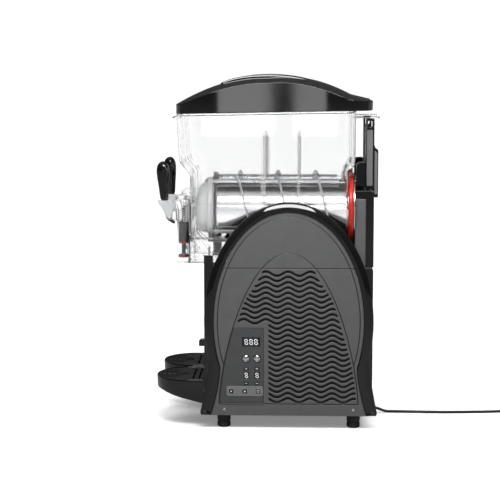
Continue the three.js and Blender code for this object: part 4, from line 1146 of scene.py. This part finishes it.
lever_pin = turned("lever_pin_right", [(0, -12.4), (2.4, -12.4), (3, -11.8), (3, 11.8), (2.4, 12.4),
                                       (0, 12.4)],
                   (BOWL_X, -300, 516), "X", pin_white, "tap_lever_right", steps=32)
twin(lever_pin, "tap_lever")


# Lids: gloss black mouldings that sit over the bowl rims, domed along their length, with a crisp
# crease down each side and a raised strip on top with a lighter grey panel in its middle.
LID_HALF, LID_FRONT, LID_REAR = 93, -275, 200


def lid_crown(v):
    """The centre line of the lid, by share of its length."""
    def bend(a, b, c, t):
        return tuple(a[i] * (1 - t) ** 2 + b[i] * 2 * t * (1 - t) + c[i] * t * t for i in (0, 1))
    if v < 0.47:
        return bend((-279, 797), (-165, 866), (-53, 863), v / 0.47)
    if v < 0.9:
        return bend((-53, 863), (55, 872), (154, 818), (v - 0.47) / 0.43)
    t = (v - 0.9) / 0.1
    return 154 + 50 * t, 818 - 12 * t


def lid_point(u, v, inset, level):
    """A point of the lid: u runs across, v along, level 1 is the crown and 0 the lower edge."""
    crown_y, crown_z = lid_crown(min(max(v, 0), 1))
    middle, length = (LID_FRONT + LID_REAR) / 2, (LID_REAR - LID_FRONT) / 2
    along = (crown_y - middle) / length
    y = middle + along * (length - inset) * (1 - 0.06 * u ** 4)
    across = u * (LID_HALF - inset) * (1 - 0.1 * along ** 8)
    drop = 13 * abs(u) ** 2.6 * (1 - along ** 4)
    bottom = rim_height(y) + 0.5
    top = crown_z - drop - inset
    return BOWL_X + across, y, bottom + (top - bottom) * level


def lid_sheet(name, material):
    columns, rows = 28, 72
    points, faces = [], []

    def surface(inset, flip):
        first = len(points)
        for r in range(rows + 1):
            for c in range(columns + 1):
                points.append(lid_point(-1 + 2 * c / columns, r / rows, inset, 1))
        for r in range(rows):
            for c in range(columns):
                a = first + r * (columns + 1) + c
                quad = (a, a + 1, a + columns + 2, a + columns + 1)
                faces.append(quad[::-1] if flip else quad)
        return first

    def border(first):
        line = [first + c for c in range(columns + 1)]
        line += [first + r * (columns + 1) + columns for r in range(1, rows + 1)]
        line += [first + rows * (columns + 1) + c for c in range(columns - 1, -1, -1)]
        line += [first + r * (columns + 1) for r in range(rows - 1, 0, -1)]
        return line

    def skirt(top_line, inset, levels):
        previous = top_line
        total = len(top_line)
        for level in levels:
            current = []
            for k in range(total):
                if k <= columns:
                    u, v = -1 + 2 * k / columns, 0
                elif k <= columns + rows:
                    u, v = 1, (k - columns) / rows
                elif k <= 2 * columns + rows:
                    u, v = 1 - 2 * (k - columns - rows) / columns, 1
                else:
                    u, v = -1, 1 - (k - 2 * columns - rows) / rows
                current.append(len(points))
                points.append(lid_point(u, v, inset, level))
            for k in range(total):
                faces.append((previous[k], current[k], current[(k + 1) % total], previous[(k + 1) % total]))
            previous = current
        return previous

    outer_edge = skirt(border(surface(0, False)), 0, (0.66, 0.33, 0.03))
    inner_edge = skirt(border(surface(2.8, True)), 2.8, (0.66, 0.33, 0.03))
    total = len(outer_edge)
    for k in range(total):
        faces.append((outer_edge[k], inner_edge[k], inner_edge[(k + 1) % total], outer_edge[(k + 1) % total]))
    return piece(name, points, faces, material, "lid_right", sharp=28)


lid_shell = lid_sheet("lid_shell_right", gloss_black)
crease = lid_shell.modifiers.new("crease_round", "BEVEL")
crease.width = 0.0018
crease.segments = 3
crease.limit_method = "ANGLE"
crease.angle_limit = math.radians(28)
crease.harden_normals = True
twin(lid_shell, "lid", "lid")


def strip_height(y):
    """Top of the raised strip above the crown."""
    t = (y + 172) / 239
    return 846 + 24 * (1 - (2 * t - 1) ** 2) ** 0.62 if 0 < t < 1 else 846


def strip_block(name, front, rear, half, sink, proud, material):
    points, faces = [], []
    rows = 40
    across = [(-half, -9), (-half, -1.6), (-half + 0.5, -0.5), (-half + 1.8, 0), (0, 0.5), (half - 1.8, 0),
              (half - 0.5, -0.5), (half, -1.6), (half, -9)]
    for r in range(rows + 1):
        y = front + (rear - front) * r / rows
        ease = min(1.0, min(y - front, rear - y) / 3.0 + 0.25)
        for u, w in across:
            points.append((BOWL_X + u, y, strip_height(y) - sink + proud * ease + w))
    size = len(across)
    for r in range(rows):
        faces += [(r * size + k, r * size + k + 1, (r + 1) * size + k + 1,
                   (r + 1) * size + k) for k in range(size - 1)]
        faces.append((r * size + size - 1, r * size, (r + 1) * size, (r + 1) * size + size - 1))
    faces += [tuple(range(size)), tuple(rows * size + k for k in reversed(range(size)))]
    return piece(name, points, faces, material, "lid_right", sharp=35)


strip = strip_block("lid_strip_right", -172, 67, 40, 1.2, 0, gloss_black)
twin(strip, "lid")
lid_grey = finish("lid_panel_grey", (0.2, 0.2, 0.205), rough=(0.3, 0.4), metallic=0.2)
strip_panel = strip_block("lid_panel_right", -102, -19, 30, 1.2, 0.6, lid_grey)
twin(strip_panel, "lid")


# Drip trays: gloss black D-shaped basins hooked on the front panel, each with a lift-out grille.
TRAY_Y, TRAY_HALF, FRONT_END = -208.6, 88, -332.5


def tray_loop(inset, height, steps=48, rear_inset=None):
    half = TRAY_HALF - inset
    length = TRAY_Y - FRONT_END - 40 - inset
    rear = TRAY_Y - (inset if rear_inset is None else rear_inset)
    loop = [(BOWL_X + half, rear), (BOWL_X + half, TRAY_Y - 20)]
    loop += [(BOWL_X + half * math.cos(a), TRAY_Y - 40 - length * math.sin(a))
             for a in (math.pi * s / steps for s in range(steps + 1))]
    loop += [(BOWL_X - half, TRAY_Y - 20), (BOWL_X - half, rear)]
    loop += [(BOWL_X - half + 2 * half * s / 12, rear) for s in range(1, 12)]
    return [(x, y, height(y) if callable(height) else height) for x, y in loop]


def tray_floor(y, lift):
    return 58 + lift + 27 * min(1, (TRAY_Y - y) / 110)


levels = [tray_loop(14, lambda y: tray_floor(y, 0.4)), tray_loop(6, lambda y: tray_floor(y, 0.8)),
          tray_loop(2.2, lambda y: tray_floor(y, 3.2)), tray_loop(0.6, lambda y: tray_floor(y, 8)),
          tray_loop(0.2, 108), tray_loop(0, 113), tray_loop(0, 117.4), tray_loop(0.5, 119),
          tray_loop(1.2, 119.8),
          tray_loop(1.9, 120), tray_loop(2.3, 119.6), tray_loop(2.45, 118.6), tray_loop(2.5, 115.5),
          tray_loop(4, 115.4),
          tray_loop(4.3, 114), tray_loop(4.4, lambda y: tray_floor(y, 12)),
          tray_loop(8, lambda y: tray_floor(y, 6.5)),
          tray_loop(16, lambda y: tray_floor(y, 5.5))]
size = len(levels[0])
points = [p for loop in levels for p in loop]
faces = hoops(len(levels) - 1, size)
faces += [tuple(reversed(range(size))), tuple((len(levels) - 1) * size + k for k in range(size))]
basin = piece("drip_basin_right", points, faces, gloss_black, "drip_tray_right", sharp=40)
twin(basin, "drip_tray", "drip_tray")
SLOT_WIDTH = 4.6


def tap_arc(radius, start, end, steps=14):
    """Points on a circle round the tap's axis, between two angles in half turns."""
    return [(BOWL_X + radius * math.cos(math.pi * (start + (end - start) * s / steps)),
             TAP_Y + radius * math.sin(math.pi * (start + (end - start) * s / steps)))
            for s in range(steps + 1)]


grille_edge = [(x, y) for x, y, _ in tray_loop(2.9, 0)]
grille_holes = [tap_arc(8, 0, 2, 24)[:-1]]
for number in range(4):
    radius = 20 + number * 12
    for start, end in ((1.08, 1.47), (1.53, 1.92)):
        slot_edge = tap_arc(radius + SLOT_WIDTH, start, end) + tap_arc(radius, end, start)
        grille_holes.append(round_about(slot_edge, 1.2, 2))
for row in range(2):
    for left in (-66, -22, 22):
        grille_holes.append([(BOWL_X + left + u, TRAY_Y - 14 - row * 15 + v)
                             for u, v in rectangle(0, 40, -2.4, 2.4, 2.3, 4)])
grille_plate = plate("tray_grille_right", [grille_edge] + grille_holes, 115.9, 118.8, "Z", 0.7, gloss_black,
                     "drip_grille_right", steps=2)
twin(grille_plate, "drip_grille", "drip_grille")
tap_ring = turned("tray_target_right", [(9.4, 118.4), (9.4, 119.6), (10.2, 120), (12, 120), (12.8, 119.6),
                                        (13, 118.4), (9.4, 118.4)],
                  (BOWL_X, TAP_Y, 0), "Z", gloss_black, "drip_grille_right", steps=48)
twin(tap_ring, "drip_grille")


# Lid masts: black uprights behind the bowls with lighter inset faces, a small window near the
# top and a latch at the back that locks the bowl's rear tab.
mast_grey = finish("mast_grey", (0.15, 0.152, 0.156), rough=(0.35, 0.45), metallic=0.3)
mast_side = round_about([(188, 588.4), (207.3, 588.4), (207.3, 567), (219, 567), (219, 684), (209, 692),
                         (209, 762.3), (188, 762.3)], 3)
mast = plate("lid_mast_post_right", [mast_side, rectangle(193, 204, 741, 756, 2.4)], BOWL_X - 14, BOWL_X + 14,
             "X", 1.6,
             gloss_black, steps=3)
twin(mast, "machine", "lid_mast")
latch_side = round_about([(165, 596), (187.6, 592), (187.6, 655), (170, 655), (165, 648)], 3)
mast_latch_block = plate("mast_latch_block_right", [latch_side], BOWL_X - 12, BOWL_X + 12, "X", 1.4,
                         gloss_black)
twin(mast_latch_block, "machine")
for side in (-1, 1):
    low, high = sorted((BOWL_X + side * 13.9, BOWL_X + side * 14.6))
    face = plate(f"mast_face_{'a' if side < 0 else 'b'}_right", [rectangle(190.6, 205, 596, 734, 2.4)], low,
                 high, "X",
                 0.3, mast_grey, steps=2)
    twin(face, "machine")
    latch = plate(f"mast_latch_{'a' if side < 0 else 'b'}_right", [round_about([(209.8, 575), (217, 575),
                                                                                (217, 676), (209.8, 684)],
                                                                                2)],
                  low, high, "X", 0.3, mast_grey, steps=2)
    twin(latch, "machine")


# End of the lead: the coil is held by a twist tie, and the last turn runs into a moulded plug
# with a ribbed sleeve and two round pins.
tie_white = finish("tie_wire", (0.6, 0.6, 0.58), rough=(0.4, 0.55), grain_scale=300)
tie_outer = round_about([(COIL_MID_R - 12.4, 0.05), (COIL_MID_R + 12.4, 0.05), (COIL_MID_R + 12.4, 15.3),
                         (COIL_MID_R - 12.4, 15.3)], 5)
tie_inner = round_about([(COIL_MID_R - 11.6, 0.6), (COIL_MID_R + 11.6, 0.6), (COIL_MID_R + 11.6, 14.6),
                         (COIL_MID_R - 11.6, 14.6)], 4.6)
plate("coil_tie", [tie_outer, tie_inner], COIL_Y - 2, COIL_Y + 2, "Y", 0.2, tie_white, steps=2)
plug_y = COIL_Y + COIL_MID_R + TURN_STEP
sleeve_profile = [(0, 28.8), (4.6, 28.8), (5, 29.2)]
for number in range(5):
    x = 30 + number * 2.2
    sleeve_profile += [(5.1 + number * 0.22, x), (5.1 + number * 0.22, x + 1.2),
                       (4.5 + number * 0.2, x + 1.4), (4.5 + number * 0.2, x + 2.0)]
sleeve_profile += [(6.5, 41), (6.5, 42.6), (0, 42.6)]
turned("plug_sleeve", sleeve_profile, (0, plug_y, 13.4), "X", rubber_black, steps=40)
plug_levels = [(38, 7.5, 7.5), (39, 9.4, 9.2), (41, 10.8, 10.6), (46, 12.2, 12), (54, 12.9, 12.7),
               (62, 13, 13),
               (76, 13, 13), (79.5, 12.8, 12.8), (81.2, 12.2, 12.2), (82, 11, 11)]
points, faces = [], []
for x, half_y, half_z in plug_levels:
    points += [(x, plug_y + u, 13.4 + v) for u, v in rectangle(-half_y, half_y, -half_z, half_z, 7, 6)]
size = len(points) // len(plug_levels)
faces = hoops(len(plug_levels) - 1, size)
faces += [tuple(reversed(range(size))), tuple((len(plug_levels) - 1) * size + k for k in range(size))]
plug_body = piece("plug_body", points, faces, rubber_black)
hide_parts("mains_plug")
for number, offset in enumerate((-7, 7)):
    turned(f"plug_pin_{number + 1}", [(0, 80), (2.4, 80), (2.4, 98.8), (2.1, 100.2), (1.2, 100.9), (0, 101)],
           (0, plug_y + offset, 13.4), "X", screw_steel, steps=32)
turned("cord_relief", [(0, 186), (8, 186), (8, 189)] + [p for s in range(6) for p in (
    (7.7 - s * 0.45, 190.2 + s * 3.6), (7.7 - s * 0.45, 192.2 + s * 3.6), (6.6 - s * 0.4, 192.6 + s * 3.6),
    (6.6 - s * 0.4, 193.6 + s * 3.6))] + [(4.6, 211.8), (0, 211.8)], (0, 0, 14), "Y", rubber_black, steps=48)
clamp = plate("cord_clamp", [rectangle(-9, 9, 6, 33.6, 2)], 160, 186.4, "Y", 1.2, rubber_black, steps=3)
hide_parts("cable_gland")


# Stage: a plain pale floor in a pale room that is brightest overhead, one softbox above the
# machine's side, and two narrow panels of light far out beside the camera.
def seen_through(tree):
    """1 for what is seen directly or through the clear bowls, 0 for what only lights or reflects."""
    ray = tree.nodes.new("ShaderNodeLightPath")
    return math_node(tree, "MAXIMUM", ray.outputs["Is Camera Ray"], ray.outputs["Is Transmission Ray"]), ray


pale_floor = finish("pale_floor", (0.9, 0.9, 0.9), rough=(0.75, 0.9), grain_scale=60, depth=0.00001)
floor_tree = pale_floor.node_tree
floor_tree.nodes["Principled BSDF"].inputs["Emission Color"].default_value = (1, 1, 1, 1)
floor_tree.nodes["Principled BSDF"].inputs["Emission Strength"].default_value = 0.22
floor_shade = floor_tree.nodes.new("ShaderNodeBsdfDiffuse")
floor_shade.inputs["Color"].default_value = (0.3, 0.3, 0.3, 1)
floor_mix = floor_tree.nodes.new("ShaderNodeMixShader")
floor_tree.links.new(seen_through(floor_tree)[0], floor_mix.inputs[0])
floor_tree.links.new(floor_shade.outputs[0], floor_mix.inputs[1])
floor_tree.links.new(floor_tree.nodes["Principled BSDF"].outputs[0], floor_mix.inputs[2])
floor_tree.links.new(floor_mix.outputs[0], floor_tree.nodes["Material Output"].inputs["Surface"])
bpy.ops.mesh.primitive_plane_add(size=60, location=(0, 0, 0))
floor = bpy.context.object
floor.name = "floor"
floor.data.materials.append(pale_floor)

pale_room = bpy.data.worlds.new("pale_room")
pale_room.use_nodes = True
room = pale_room.node_tree
direct, ray = seen_through(room)
room.nodes["Background"].inputs["Color"].default_value = (1, 1, 1, 1)
height = room.nodes.new("ShaderNodeSeparateXYZ")
room.links.new(room.nodes.new("ShaderNodeTexCoord").outputs["Generated"], height.inputs[0])
overhead_glow = math_node(room, "POWER", math_node(room, "MAXIMUM", height.outputs["Z"], 0.0), 4.0)
lighting = math_node(room, "MULTIPLY", overhead_glow, 4.4)
mirrored_room = math_node(room, "ADD", math_node(room, "MULTIPLY", overhead_glow, 0.5), 0.07)
soft = math_node(room, "MULTIPLY", lighting, ray.outputs["Is Diffuse Ray"])
sharp = math_node(room, "MULTIPLY", mirrored_room, math_node(room, "SUBTRACT", 1.0,
                                                             ray.outputs["Is Diffuse Ray"]))
unseen = math_node(room, "MULTIPLY", math_node(room, "ADD", soft, sharp),
                   math_node(room, "SUBTRACT", 1.0, direct))
room.links.new(math_node(room, "ADD", unseen, math_node(room, "MULTIPLY", direct, 1.02)),
               room.nodes["Background"].inputs["Strength"])
scene.world = pale_room


def softbox(name, place, aim, across, along, watts):
    light = bpy.data.lights.new(name, "AREA")
    light.shape = "RECTANGLE"
    light.size, light.size_y = across, along
    light.energy = watts
    holder = bpy.data.objects.new(name, light)
    holder.location = place
    holder.rotation_mode = "QUATERNION"
    holder.rotation_quaternion = (Vector(aim) - Vector(place)).to_track_quat("-Z", "Y")
    scene.collection.objects.link(holder)


softbox("side_softbox", (0.98, arch_y - 0.005, 1.3), (0.2, arch_y - 0.005, 0.5), 0.9, 0.3, 18)
softbox("front_panel_light", (4.4, arch_y - 0.325, 0.78), (0.2, arch_y - 0.325, 0.78), 0.36, 0.5, 2.2)
softbox("rear_panel_light", (4.4, arch_y + 0.075, 0.78), (0.2, arch_y + 0.075, 0.78), 0.22, 0.5, 1.3)
scene.view_settings.view_transform = "Standard"
scene.view_settings.look = "None"
